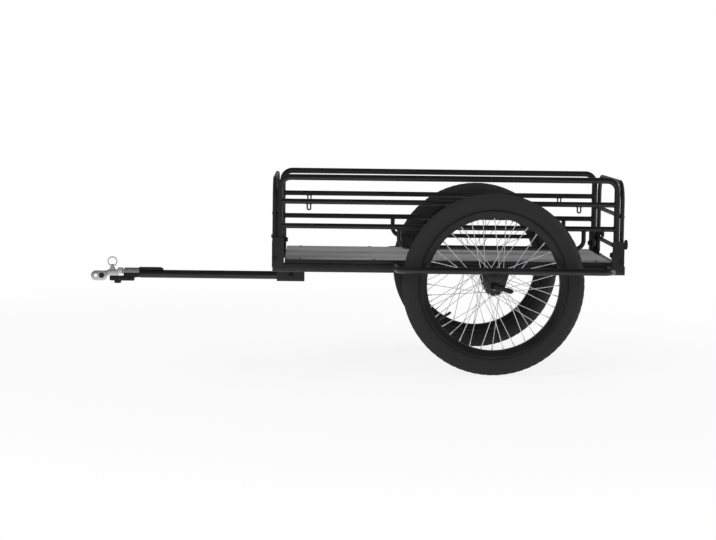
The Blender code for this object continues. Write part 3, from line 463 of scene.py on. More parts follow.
# Painted highlight: a lighter grey zinc for the forged neck, while the rest of the same forging is black
# zinc.
HIGHLIGHT_PAINTED_ZINC = PlatedMetal("dull_zinc_plating", "zinc", roughness=(0.34, 0.50), metallic=0.9, **grey(0.20, 0.36))
CHROME = PlatedMetal("bright_chrome", "chrome", roughness=(0.08, 0.18), metallic=1.0, **grey(0.72, 0.82))
BLACK_ZINC = PlatedMetal(
    "black_zinc_plating", "black_zinc", roughness=(0.32, 0.46), metallic=0.75, **grey(0.020, 0.042)
)
KNOB_PLASTIC = MouldedPlastic("knob_plastic", "knob_plastic", roughness=(0.42, 0.55), **grey(0.012, 0.020))
PLUG_PLASTIC = MouldedPlastic(
    "end_plug_plastic", "knob_plastic", roughness=(0.50, 0.62), grain=900.0, **grey(0.010, 0.016)
)


# Geometry trees.


class GeometryTree:
    """A geometry tree with named inputs, built on first use and shared by every piece that needs it."""

    name = "tree"
    sockets: tuple[tuple[str, str], ...] = ()

    def __init__(self) -> None:
        """Makes the tree with its inputs and ends what wire() gives in realised, dressed geometry."""
        self.tree = bpy.data.node_groups.new(self.name, "GeometryNodeTree")
        face = self.tree.interface
        face.new_socket(name="Geometry", in_out="INPUT", socket_type="NodeSocketGeometry")
        for label, kind in (*self.sockets, ("Finish", "Material")):
            face.new_socket(name=label, in_out="INPUT", socket_type=f"NodeSocket{kind}")
        face.new_socket(name="Geometry", in_out="OUTPUT", socket_type="NodeSocketGeometry")
        desk = NodeDesk(self.tree)
        given = desk.add("NodeGroupInput").outputs
        real = desk.add("GeometryNodeRealizeInstances", Geometry=self.wire(desk, given))
        dressed = desk.add("GeometryNodeSetMaterial", Geometry=real.outputs[0], Material=given["Finish"])
        desk.add("NodeGroupOutput", Geometry=dressed.outputs[0])

    @classmethod
    @cache
    def shared(cls) -> "GeometryTree":
        """Gives the one tree of this kind."""
        return cls()

    def wire(self, desk: NodeDesk, given: bpy.types.NodeOutputs) -> Socket:
        """Wires the tree's own work on its inputs, and gives the geometry."""
        raise NotImplementedError

    def run(self, obj: Obj, finish: Finish, **values: object) -> Mesh:
        """Runs the tree on an object and takes its result as a plain mesh.

        Args:
            obj: the object that carries the tree's geometry input; it is removed.
            finish: the finish of the result.
            values: the tree's inputs by name, with _ for a blank.

        Returns:
            The realised mesh.
        """
        modifier = obj.modifiers.new(self.name, "NODES")
        modifier.node_group = self.tree
        items = self.tree.interface.items_tree
        keys = {item.name: item.identifier for item in items if item.in_out == "INPUT"}
        for label, value in {"Finish": finish.material(), **values}.items():
            modifier[keys[label.replace("_", " ")]] = value
        return baked(obj)


class RingTree(GeometryTree):
    """Repeats a shape about the Y line through a centre."""

    name = "repeat_round_axle"
    sockets = (("Count", "Int"), ("Centre", "Vector"))

    def wire(self, desk: NodeDesk, given: bpy.types.NodeOutputs) -> Socket:
        """Turns one copy after another about Y, and sets them on the centre."""
        share = desk.math("DIVIDE", desk.add("GeometryNodeInputIndex").outputs[0], given["Count"])
        turn = desk.add("ShaderNodeCombineXYZ", Y=desk.math("MULTIPLY", share, -2 * math.pi)).outputs[0]
        rotation = desk.add("FunctionNodeEulerToRotation", Euler=turn).outputs[0]
        points = desk.add("GeometryNodePoints", Count=given["Count"], Position=given["Centre"]).outputs[0]
        kind = "GeometryNodeInstanceOnPoints"
        return desk.add(kind, Points=points, Instance=given["Geometry"], Rotation=rotation).outputs[0]


class RowTree(GeometryTree):
    """Repeats a shape in a straight row."""

    name = "repeat_in_row"
    sockets = (("Count", "Int"), ("Start", "Vector"), ("Step", "Vector"))

    def wire(self, desk: NodeDesk, given: bpy.types.NodeOutputs) -> Socket:
        """Sets copy number n at start + n steps."""
        index = desk.add("GeometryNodeInputIndex").outputs[0]
        along = desk.add("ShaderNodeVectorMath", {"operation": "SCALE"}, Vector=given["Step"], Scale=index)
        place = desk.add("ShaderNodeVectorMath", {"operation": "ADD"})
        desk.feed(place.inputs[0], along.outputs[0])
        desk.feed(place.inputs[1], given["Start"])
        points = desk.add("GeometryNodePoints", Count=given["Count"], Position=place.outputs[0]).outputs[0]
        return desk.add("GeometryNodeInstanceOnPoints", Points=points, Instance=given["Geometry"]).outputs[0]


class PlacesTree(GeometryTree):
    """Sets a copy of a shape at each point of a places object, turned by the point's attribute."""

    name = "set_at_places"
    sockets = (("Places", "Object"),)

    def wire(self, desk: NodeDesk, given: bpy.types.NodeOutputs) -> Socket:
        """Reads each place's turn and sets the copies."""
        places = desk.add("GeometryNodeObjectInfo", {"transform_space": "ORIGINAL"}, Object=given["Places"])
        turn = desk.add("GeometryNodeInputNamedAttribute", {"data_type": "FLOAT_VECTOR"}, Name="turn")
        rotation = desk.add("FunctionNodeEulerToRotation", Euler=turn.outputs[0]).outputs[0]
        points, kind = places.outputs["Geometry"], "GeometryNodeInstanceOnPoints"
        return desk.add(kind, Points=points, Instance=given["Geometry"], Rotation=rotation).outputs[0]


class BentTubeTree(GeometryTree):
    """Bends a round bar along a path with equal bends."""

    name = "bent_round_bar"
    sockets = (
        ("Bend Radius", "Float"),
        ("Bend Steps", "Int"),
        ("Tube Radius", "Float"),
        ("Tube Sides", "Int"),
    )

    def wire(self, desk: NodeDesk, given: bpy.types.NodeOutputs) -> Socket:
        """Rounds the path's corners and sweeps a circle along it."""
        path = desk.add("GeometryNodeMeshToCurve", Mesh=given["Geometry"]).outputs[0]
        bends = {"Count": given["Bend Steps"], "Radius": given["Bend Radius"], "Limit_Radius": True}
        bent = desk.add("GeometryNodeFilletCurve", {"mode": "POLY"}, Curve=path, **bends).outputs[0]
        size = {"Resolution": given["Tube Sides"], "Radius": given["Tube Radius"]}
        ring = desk.add("GeometryNodeCurvePrimitiveCircle", **size).outputs[0]
        return desk.add("GeometryNodeCurveToMesh", Curve=bent, Profile_Curve=ring, Fill_Caps=True).outputs[0]


# Meshes.


def baked(obj: Obj) -> Mesh:
    """Takes an object's evaluated shape as a plain mesh, and removes the object."""
    bpy.context.view_layer.update()
    graph = bpy.context.evaluated_depsgraph_get()
    shape = obj.evaluated_get(graph)
    mesh = bpy.data.meshes.new_from_object(shape, preserve_all_data_layers=True, depsgraph=graph)
    bpy.data.objects.remove(obj, do_unlink=True)
    return mesh


def linked(name: str, mesh: Mesh) -> Obj:
    """Puts a mesh into the scene as an object."""
    obj = bpy.data.objects.new(name, mesh)
    bpy.context.scene.collection.objects.link(obj)
    return obj


def drilled(obj: Obj, cutter: Obj) -> Mesh:
    """Cuts one object out of another, removes both and gives the cut mesh."""
    cut = obj.modifiers.new("holes", "BOOLEAN")
    cut.operation, cut.solver, cut.object = "DIFFERENCE", "EXACT", cutter
    mesh = baked(obj)
    bpy.data.objects.remove(cutter, do_unlink=True)
    return mesh


def path_mesh(points: Path, closed: bool = False) -> Obj:
    """Makes an object of edges that join points in order, and the last to the first if closed."""
    mesh = bpy.data.meshes.new("path")
    count = len(points)
    edges = [(i, (i + 1) % count) for i in range(count if closed else count - 1)]
    mesh.from_pydata([tuple(point) for point in points], edges, [])
    return linked("path", mesh)


def arc(centre: Pair, radius: float, start: float, end: float, steps: int) -> list[Pair]:
    """Points of an arc, with angles in degrees."""
    angles = [math.radians(start + (end - start) * i / steps) for i in range(steps + 1)]
    return [(centre[0] + radius * math.cos(a), centre[1] + radius * math.sin(a)) for a in angles]


def straight(start: Sequence[float], end: Sequence[float], steps: int) -> list[Vector]:
    """Points in equal steps from start to end."""
    return [Vector(start).lerp(Vector(end), i / steps) for i in range(steps + 1)]


def chamfered(start: float, end: float, radius: float, chamfer: float) -> list[Pair]:
    """Stations of a cylinder with a chamfer at both ends."""
    low = radius - chamfer
    return [(start, low), (start + chamfer, radius), (end - chamfer, radius), (end, low)]


def mirrored(profile: Outline) -> list[Pair]:
    """A profile's other half: its points with the first number turned round, in reverse order."""
    return [(-u, v) for u, v in reversed(profile)]


def xz_plane(u: float, v: float, depth: float) -> Vector:
    """Outline in X and Z, depth along Y."""
    return Vector((u, depth, v))


def xy_plane(u: float, v: float, depth: float) -> Vector:
    """Outline in X and Y, depth along Z."""
    return Vector((u, v, depth))


class Blank:
    """Collects the shells of one piece, each a closed surface; each step gives the blank back."""

    def __init__(self) -> None:
        """Starts empty."""
        self.bm = bmesh.new()

    def take(self, mesh: Mesh) -> "Blank":
        """Adds a baked mesh and removes it."""
        self.bm.from_mesh(mesh)
        bpy.data.meshes.remove(mesh)
        return self

    def loft(self, rings: Sequence[Path], looped: bool = False) -> "Blank":
        """Joins rings of equal count by quads, and caps the ends unless looped.

        Args:
            rings: the rings' points.
            looped: joins the last ring to the first.

        Returns:
            The blank itself.
        """
        rows = [[self.bm.verts.new(point) for point in ring] for ring in rings]
        count = len(rows[0])
        for first, second in list(zip(rows, rows[1:])) + ([(rows[-1], rows[0])] if looped else []):
            for i in range(count):
                j = (i + 1) % count
                self.bm.faces.new((first[i], first[j], second[j], second[i]))
        if not looped:
            self.bm.faces.new(rows[0])
            self.bm.faces.new(rows[-1])
        return self

    def turned_ring(self, profile: Outline, centre: Sequence[float], steps: int) -> "Blank":
        """Turns a closed profile about the Y line through a centre.

        Args:
            profile: points of offset along Y and radius.
            centre: the centre.
            steps: how many sections.

        Returns:
            The blank itself.
        """
        rings = []
        for i in range(steps):
            angle = 2 * math.pi * i / steps
            radial = Vector((math.cos(angle), 0, math.sin(angle)))
            rings.append([Vector(centre) + Vector((0, y, 0)) + radial * r for y, r in profile])
        return self.loft(rings, looped=True)

    def turned_bar(
        self,
        stations: Outline,
        centre: Sequence[float],
        axis: Sequence[float],
        steps: int = 32,
        looped: bool = False,
    ) -> "Blank":
        """Turns stations about an axis, with flat ends unless looped.

        Args:
            stations: points of offset along the axis and radius.
            centre: where offset 0 is.
            axis: the axis's direction.
            steps: sides of the circle.
            looped: joins the last station to the first, as in a pipe.

        Returns:
            The blank itself.
        """
        along = Vector(axis).normalized()
        first = along.cross(Vector((0, 0, 1)) if abs(along.z) < 0.9 else Vector((1, 0, 0))).normalized()
        second = along.cross(first).normalized()
        angles = [2 * math.pi * i / steps for i in range(steps)]
        circle = [first * math.cos(a) + second * math.sin(a) for a in angles]
        middles = [(Vector(centre) + along * offset, radius) for offset, radius in stations]
        return self.loft([[middle + radius * way for way in circle] for middle, radius in middles], looped)

    def prism(self, outline: Outline, place: Plane, start: float, end: float) -> "Blank":
        """Pushes an outline from start to end.

        Args:
            outline: points (u, v).
            place: gives the point of (u, v, depth).
            start: first depth.
            end: last depth.

        Returns:
            The blank itself.
        """
        return self.loft([[place(u, v, depth) for u, v in outline] for depth in (start, end)])

    def block(self, outline: Outline, place: Plane, depths: Pair, bevel: float, segments: int = 2) -> "Blank":
        """Adds an outline that is pushed between two depths, with rounded edges."""
        return self.take(baked(Blank().prism(outline, place, *depths).shape("block", bevel, segments)))

    def box(self, low: Sequence[float], high: Sequence[float]) -> "Blank":
        """Adds a box between two corners."""
        xs, (left, right), (bottom, top) = zip(low, high)
        corners = ((left, bottom), (right, bottom), (right, top), (left, top))
        return self.loft([[(x, y, z) for y, z in corners] for x in xs])

    def bend(
        self,
        path: Path,
        radius: float,
        bend: float = 0.0,
        steps: int = 12,
        sides: int = 28,
        closed: bool = False,
    ) -> "Blank":
        """Adds a round bar along a path.

        Args:
            path: the path's corners.
            radius: the bar's radius.
            bend: the bends' radius.
            steps: points in each bend.
            sides: sides of the bar.
            closed: joins the path's ends.

        Returns:
            The blank itself.
        """
        values = {"Bend_Radius": bend, "Bend_Steps": steps, "Tube_Radius": radius, "Tube_Sides": sides}
        return self.take(BentTubeTree.shared().run(path_mesh(path, closed), BLACK_PAINT, **values))

    def weld(self, centre: Point, along: Point, post: Point, radius: float, post_radius: float) -> "Blank":
        """Adds the bead round a tube that ends on a post.

        Args:
            centre: where the two middle lines cross.
            along: direction from the crossing out along the tube.
            post: the post's direction.
            radius: the tube's radius.
            post_radius: the post's radius.

        Returns:
            The blank itself.
        """
        bead, lift, steps = 0.0011, 0.0004, 24
        out, up = Vector(along), Vector(post)
        across = out.cross(up)
        points = []
        for i in range(steps):
            angle = 2 * math.pi * i / steps
            spread = (radius + lift) * (1.0 + 0.02 * math.sin(9 * angle))
            u, v = spread * math.cos(angle), spread * math.sin(angle)
            reach = math.sqrt(max(post_radius**2 - u * u, (0.35 * post_radius) ** 2))
            points.append(Vector(centre) + across * u + up * v + out * reach)
        return self.bend(points, bead, steps=1, sides=8, closed=True)

    def shape(self, name: str, bevel: float = 0.0, segments: int = 2) -> Obj:
        """Makes the collected shells an object without modifiers.

        Args:
            name: the object's name.
            bevel: width of the rounding on its edges, in metres; 0 for none.
            segments: steps of the rounding.

        Returns:
            The object.
        """
        bmesh.ops.remove_doubles(self.bm, verts=self.bm.verts, dist=1e-7)
        bmesh.ops.recalc_face_normals(self.bm, faces=self.bm.faces)
        mesh = bpy.data.meshes.new(name)
        self.bm.to_mesh(mesh)
        self.bm.free()
        if bevel:
            rough = linked(name + "_rough", mesh)
            modifier = rough.modifiers.new("edge_round", "BEVEL")
            modifier.width, modifier.segments = bevel, segments
            modifier.limit_method, modifier.angle_limit = "ANGLE", math.radians(30)
            mesh = baked(rough)
            mesh.name = name
        mesh.polygons.foreach_set("material_index", [0] * len(mesh.polygons))
        mesh.shade_smooth()
        mesh.set_sharp_from_angle(angle=math.radians(38))
        return linked(name, mesh)

    def settle(self, name: str, finish: Finish, body: str, *nodes: str) -> None:
        """Makes the collected shells a piece, dresses it and hides the solids it stands for.

        Args:
            name: the piece's name.
            finish: its finish.
            body: the body it rides on.
            nodes: the solids that it replaces.
        """
        piece = self.shape(name)
        piece.data.materials.clear()
        piece.data.materials.append(finish.material())
        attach(piece, body)
        if nodes:
            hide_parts(*nodes)


def dress(finish: Finish, *nodes: str) -> None:
    """Gives solids that stay their finish."""
    for name in nodes:
        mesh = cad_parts[name].data
        mesh.materials.clear()
        mesh.materials.append(finish.material())


def set_at(obj: Obj, finish: Finish, places: Sequence[tuple[Point, Point]]) -> Mesh:
    """Sets copies of a shape at places.

    Args:
        obj: the shape; it is removed.
        finish: the copies' finish.
        places: pairs of point and turn, as Euler angles.

    Returns:
        The copies as one mesh.
    """
    mesh = bpy.data.meshes.new("places")
    mesh.from_pydata([point for point, _ in places], [], [])
    turns = mesh.attributes.new("turn", "FLOAT_VECTOR", "POINT")
    turns.data.foreach_set("vector", [value for _, turn in places for value in turn])
    holder = linked("places", mesh)
    holder.hide_render = True
    copies = PlacesTree.shared().run(obj, finish, Places=holder)
    bpy.data.objects.remove(holder, do_unlink=True)
    return copies


# Frame and deck.


class Part(Protocol):
    """A sub-assembly that makes and dresses its own pieces."""

    def build(self) -> None:
        """Makes all of its pieces."""


@dataclass
class SquareRail:
    """One length of square steel tube with rounded corners, open at both ends."""

    node: str
    start: Point
    end: Point
    wall: float = 0.0015
    corner: float = 0.003
    inner_corner: float = 0.0017

    def ring(self, place: Point, half: float, corner: float) -> list[Vector]:
        """Gives one section of the tube.

        Args:
            place: the section's middle.
            half: half of its size.
            corner: its corner radius.

        Returns:
            Points in order round the section.
        """
        side = Vector((0, 0, 1)).cross(Vector(self.end) - Vector(self.start)).normalized()
        flat = half - corner
        points = []
        for turn, centre in enumerate(((flat, flat), (-flat, flat), (-flat, -flat), (flat, -flat))):
            points += arc(centre, corner, 90 * turn, 90 * turn + 90, 4)
        return [Vector(place) + side * u + Vector((0, 0, v)) for u, v in points]

    def build(self) -> None:
        """Makes the tube in place of its solid."""
        half = RAIL_SIZE / 2
        outer = [self.ring(place, half, self.corner) for place in (self.start, self.end)]
        inner = [self.ring(place, half - self.wall, self.inner_corner) for place in (self.end, self.start)]
        Blank().loft(outer + inner, looped=True).settle(f"tube_{self.node}", BLACK_PAINT, "frame", self.node)


@dataclass
class LadderFrame:
    """The rails, cross rails and bearers, with weld beads, and plugs in the rails' ends."""

    front_x: float = AXLE_X - 0.622
    rear_x: float = AXLE_X + 0.382
    bearer_xs: Pair = (AXLE_X - 0.320, AXLE_X + 0.075)
    bead: float = 0.0013
    plug_wall: float = 0.0019
    plug_inset: float = 0.0002
    rib_zs: Point = (-0.004, 0.0, 0.004)

    def cross_xs(self) -> dict[str, float]:
        """Gives where each tube across the frame stands, by its node."""
        ends = (self.front_x + RAIL_SIZE / 2, self.rear_x - RAIL_SIZE / 2)
        nodes = ("front_cross_rail", "rear_cross_rail", "deck_bearer_front", "deck_bearer_rear")
        return dict(zip(nodes, (*ends, *self.bearer_xs)))

    def tubes(self) -> None:
        """Makes every square tube."""
        for side in Side:
            y = side.value * RAIL_Y
            SquareRail(f"base_rail_{side.tag}", (self.front_x, y, RAIL_Z), (self.rear_x, y, RAIL_Z)).build()
        reach = RAIL_Y - RAIL_SIZE / 2 - GAP
        for node, x in self.cross_xs().items():
            SquareRail(node, (x, -reach, RAIL_Z), (x, reach, RAIL_Z)).build()

    def end_plugs(self) -> None:
        """Sets a ribbed plastic plug in each open end of the two rails."""
        inner = RAIL_SIZE / 2 - self.plug_wall
        blank = Blank().box((-0.012, -inner, -inner), (0.0, inner, inner))
        for z in self.rib_zs:
            blank.box((-0.001, -0.006, z - 0.0007), (0.0006, 0.006, z + 0.0007))
        places = []
        for side in Side:
            y = side.value * RAIL_Y
            places.append(((self.rear_x - self.plug_inset, y, RAIL_Z), (0.0, 0.0, 0.0)))
            places.append(((self.front_x + self.plug_inset, y, RAIL_Z), (0.0, 0.0, math.pi)))
        plugs = set_at(blank.shape("plug", 0.0006), PLUG_PLASTIC, places)
        Blank().take(plugs).settle("rail_end_plugs", PLUG_PLASTIC, "frame")

    def weld_seams(self) -> None:
        """Lays a bead up both sides and along the bottom where a cross tube meets a rail."""
        half, steps = RAIL_SIZE / 2, 16
        low, high = RAIL_Z - half, RAIL_Z + half
        blank = Blank()
        for x in self.cross_xs().values():
            for y in (half - RAIL_Y, RAIL_Y - half):
                for edge in (x - half, x + half):
                    blank.bend(straight((edge, y, low), (edge, y, high), steps), self.bead, steps=1)
                blank.bend(straight((x - half, y, low), (x + half, y, low), steps), self.bead, steps=1)
        blank.settle("frame_weld_beads", BLACK_PAINT, "frame")

    def build(self) -> None:
        """Makes all of the ladder frame."""
        self.tubes()
        self.end_plugs()
        self.weld_seams()


@dataclass
class Deck:
    """The board, kept as its solid, and the low pan-head screws that hold it to the rails."""

    top_z: float = 0.3169
    screw_y: float = 0.2215
    first_x: float = AXLE_X - 0.545
    step_x: float = 0.2115
    count: int = 5
    head: Outline = (
        (-0.0004, 0.0050), (0.0004, 0.0052), (0.0012, 0.0044), (0.0016, 0.0028), (0.0017, 0.0010),
    )

    def build(self) -> None:
        """Dresses the board and sets a row of screws on each side."""
        dress(DECK_BOARD, "deck_panel")
        blank = Blank()
        for side in Side:
            screw = Blank().turned_bar(self.head, (0, 0, 0), (0, 0, 1), 20).shape("screw")
            start = (self.first_x, side.value * self.screw_y, self.top_z)
            row = {"Count": self.count, "Start": start, "Step": (self.step_x, 0.0, 0.0)}
            blank.take(RowTree.shared().run(screw, BLACK_ZINC, **row))
        blank.settle("deck_screws", BLACK_ZINC, "frame")


@dataclass
class WheelSupport:
    """The round bar that runs outside a wheel, its drop-out plate, and the inner plate on the rail."""

    side: Side
    radius: float = 0.0095
    z: float = 0.2995
    xs: Pair = (AXLE_X - 0.272, AXLE_X + 0.331)
    bend: float = 0.032
    plate_half_widths: Pair = (0.0400, 0.0245)
    plate_bottom: float = 0.2436
    slot: float = 0.0053
    seam_half: float = 0.037

    def plate(self) -> list[Pair]:
        """Gives the drop-out plate's outline in X and Z, with an open slot for the axle."""
        wide, narrow = self.plate_half_widths
        top, low, slot = self.z - 0.002, self.plate_bottom, self.slot
        left = [(AXLE_X - wide, top), (AXLE_X - narrow, low), (AXLE_X - slot, low)]
        right = [(AXLE_X + slot, low), (AXLE_X + narrow, low), (AXLE_X + wide, top)]
        return left + arc((AXLE_X, AXLE_Z), slot, 180, 0, 12) + right

    def build(self) -> None:
        """Makes the outer bar with its plate and beads, and dresses the inner plate."""
        sign, tag, (front, rear) = self.side.value, self.side.tag, self.xs
        start, y = sign * (RAIL_FACE + GAP), sign * OUTER_BAR_Y
        path = [(front, start, self.z), (front, y, self.z), (rear, y, self.z), (rear, start, self.z)]
        faces = (y - DROPOUT / 2, y + DROPOUT / 2)
        blank = Blank().bend(path, self.radius, self.bend, 14).block(self.plate(), xz_plane, faces, 0.0007)
        seam_z = self.z - self.radius + 0.0004
        for face in faces:
            ends = [(AXLE_X - self.seam_half, face, seam_z), (AXLE_X + self.seam_half, face, seam_z)]
            blank.bend(straight(*ends, 30), 0.0014, steps=1)
        for x in self.xs:
            circle = arc((x, self.z), self.radius + 0.0003, 0, 360, 28)[:-1]
            foot = [(u, start + sign * 0.0009, v) for u, v in circle]
            blank.bend(foot, 0.0013, steps=1, sides=8, closed=True)
        blank.settle(f"wheel_bar_tube_{tag}", BLACK_PAINT, "frame", f"wheel_bar_{tag}")
        dress(BLACK_PAINT, f"inner_dropout_{tag}")


# Wheels.


@dataclass(frozen=True)
class TreadBlock:
    """One block of a tyre's tread, the same on both halves of the tread.

    Its ys lie across the tyre, its drops are its top's depth under the tyre's radius at both,
    and its shift and length along the tread are shares of one pitch.
    """

    ys: Pair
    drops: Pair
    depth: float
    shift: float
    length: float
    lean: float = 0.0003

    def add_to(self, blank: Blank, sign: int, radius: float, pitch: float) -> None:
        """Adds the block to a pitch of the tread at angle 0.

        Args:
            blank: the pitch's blank.
            sign: which half of the tread, as the sign of Y.
            radius: the tyre's radius.
            pitch: length of one pitch.
        """
        (near, far), tops = self.ys, [radius - drop for drop in self.drops]
        section = [(tops[0] - self.depth, near), (tops[0], near + self.lean)]
        section += [(tops[1], far - self.lean), (tops[1] - self.depth, far)]
        rings = []
        for end in (-0.5, 0.5):
            angle = pitch * (sign * self.shift + end * self.length) / radius
            spin = Matrix.Rotation(-angle, 3, "Y")
            rings.append([spin @ Vector((r, sign * y, 0)) for r, y in section])
        blank.loft(rings)


@dataclass
class Wheel:
    """A 20 inch wheel: tyre with tread blocks, rim, valve, hub, spokes and nipples."""

    side: Side
    valve_angle: float
    radius: float = AXLE_Z
    bead_radius: float = 0.2035
    bore_radius: float = 0.1865
    rim_half: float = 0.017
    sections: int = 128
    spokes: int = 36
    spoke_radius: float = 0.0010
    lacing_radius: float = 0.0262
    flange_y: float = 0.0260
    cross_turn: float = math.radians(60)
    tread_pitches: int = 72
    tread: tuple[TreadBlock, ...] = (
        TreadBlock((0.0006, 0.0058), (0.0001, 0.0001), 0.0034, 0.25, 0.62),
        TreadBlock((0.0072, 0.0132), (0.0009, 0.0031), 0.0024, -0.25, 0.62),
        TreadBlock((0.0148, 0.0204), (0.0034, 0.0076), 0.0030, 0.25, 0.496),
    )

    @property
    def centre(self) -> Vector:
        """The wheel's middle."""
        return Vector((AXLE_X, self.side.value * HALF_TRACK, self.radius))

    def add(self, blank: Blank, name: str, finish: Finish, node: str) -> None:
        """Sets a piece on the wheel, named for its side.

        Args:
            blank: the piece's blank.
            name: its name, without the side.
            finish: its finish.
            node: the solid it stands for, without the side.
        """
        tag = self.side.tag
        blank.settle(f"{name}_{tag}", finish, f"wheel_{tag}", f"{node}_{tag}")

    def casing(self) -> list[Pair]:
        """Gives the tyre's section: tread, shoulders, ribbed side walls, beads and the inside."""
        bead_y, foot = self.rim_half - 0.0024, self.bead_radius + 0.0006
        wall = [
            (bead_y, foot), (bead_y, 0.2094), (0.0172, 0.2108), (0.0200, 0.2126), (0.0212, 0.2140),
            (0.0233, 0.2170), (0.0241, 0.2172), (0.0246, 0.2190), (0.0256, 0.2216), (0.0266, 0.2258),
            (0.0270, 0.2305), (0.0268, 0.2345), (0.0262, 0.2386), (0.0253, 0.2412), (0.0247, 0.2424),
            (0.0228, 0.2448), (0.0196, 0.2488), (0.0152, 0.2524), (0.0100, 0.2547), (0.0050, 0.2557),
        ]
        inside = [
            (0.0085, 0.2515), (0.0170, 0.2465), (0.0218, 0.2400), (0.0228, 0.2310), (0.0212, 0.2220),
            (0.0112, 0.2135), (0.0112, foot),
        ]
        return wall + mirrored(wall) + mirrored(inside) + inside

    def tyre(self) -> None:
        """Makes the casing and its tread."""
        pitch = Blank()
        for sign in (-1, 1):
            for block in self.tread:
                block.add_to(pitch, sign, self.radius, 2 * math.pi * self.radius / self.tread_pitches)
        ring = {"Count": self.tread_pitches, "Centre": self.centre}
        tread = RingTree.shared().run(pitch.shape("tread_pitch"), TYRE_RUBBER, **ring)
        blank = Blank().turned_ring(self.casing(), self.centre, self.sections).take(tread)
        self.add(blank, "tread_and_casing", TYRE_RUBBER, "tyre")

    def rim(self) -> None:
        """Makes the rim with rolled flanges."""
        half, bore, bed = self.rim_half, self.bore_radius, self.bead_radius
        outer = [
            (half - 0.0006, 0.2092), (half, 0.2086), (half, 0.2012), (half - 0.0006, 0.2000),
            (0.0122, 0.1900), (0.0108, 0.1876), (0.0080, bore + 0.0002), (0.0040, bore),
        ]
        inner = [
            (0.0070, 0.1905), (0.0110, 0.1950), (0.0125, bed), (half - 0.0021, bed),
            (half - 0.0021, 0.2084), (half - 0.0015, 0.2092),
        ]
        profile = outer + mirrored(outer) + mirrored(inner) + inner
        self.add(Blank().turned_ring(profile, self.centre, self.sections), "rim_hoop", RIM_PAINT, "rim")

    def spoke(self, blank: Blank, number: int) -> None:
        """Adds a spoke with its head and nipple, about the wheel's middle.

        Args:
            blank: the blank it goes into.
            number: the spoke's number, from 0.
        """
        flange, lead = (1 if number % 2 else -1), (1 if number // 2 % 2 else -1)
        rim_angle = 2 * math.pi * number / self.spokes
        hub_angle = rim_angle + lead * self.cross_turn
        x, z = self.lacing_radius * math.cos(hub_angle), self.lacing_radius * math.sin(hub_angle)
        start = Vector((x, flange * (self.flange_y + 0.0021 * lead), z))
        bore, r = self.bore_radius, self.spoke_radius
        end = Vector((bore * math.cos(rim_angle), flange * 0.0025, bore * math.sin(rim_angle)))
        way = (end - start).normalized()
        blank.turned_bar(((0.0, r), ((end - start).length - 0.012, r)), start, way, 8)
        head = ((-0.0040, r), (-0.0006, r), (-0.0004, 0.0019), (0.0003, 0.0019), (0.0007, 0.0010))
        blank.turned_bar(head, (x, flange * (self.flange_y + 0.0035 * lead), z), (0, flange * lead, 0), 8)
        nipple = [(-0.0125, 0.0012), (-0.0120, 0.0017), (-0.0030, 0.0017)]
        nipple += [(-0.0022, 0.0024), (0.0006, 0.0024)]
        blank.turned_bar(nipple, end, way, 8)

    def hub(self) -> None:
        """Makes the hub shell and the laced spokes in groups of four, and dresses the bearings."""
        outer = [
            (0.0360, 0.0158), (0.0355, 0.0165), (0.0306, 0.0166), (0.0298, 0.0176), (0.0292, 0.0284),
            (0.0286, 0.0290), (0.0236, 0.0290), (0.0230, 0.0284), (0.0224, 0.0184), (0.0212, 0.0156),
            (0.0180, 0.0150),
        ]
        inner = [(0.0277, 0.0080), (0.0277, 0.0133), (0.0360, 0.0133)]
        profile = outer + mirrored(outer) + mirrored(inner) + inner
        self.add(Blank().turned_ring(profile, self.centre, 48), "hub_shell", RIM_PAINT, "hub_and_spokes")
        group, group_size = Blank(), 4
        for number in range(group_size):
            self.spoke(group, number)
        ring = {"Count": self.spokes // group_size, "Centre": self.centre}
        laced = RingTree.shared().run(group.shape("spoke_group"), SPOKE_WIRE, **ring)
        self.add(Blank().take(laced), "laced_spokes", SPOKE_WIRE, "hub_and_spokes")
        dress(ZINC_PLATE, *(f"bearing_{self.side.tag}_{place}" for place in ("inner", "outer")))

    def valve(self) -> None:
        """Makes the inner tube with its valve stem, collar and cap."""
        blank = Blank().turned_ring(arc((0.0, 0.2315), 0.0168, 0, 345, 23), self.centre, 48)
        inwards = (-math.cos(self.valve_angle), 0, -math.sin(self.valve_angle))
        stem = (
            (-0.218, 0.0034), (-0.1885, 0.0034), (-0.1865, 0.0042), (-0.1640, 0.0036), (-0.1600, 0.0028),
            (-0.1590, 0.0026), (-0.1585, 0.0038), (-0.1440, 0.0038), (-0.1425, 0.0030), (-0.1420, 0.0015),
        )
        blank.turned_bar(stem, self.centre, inwards, 20)
        self.add(blank, "tube_and_valve", TUBE_RUBBER, "inner_tube")

    def build(self) -> None:
        """Makes the whole wheel."""
        self.tyre()
        self.rim()
        self.hub()
        self.valve()


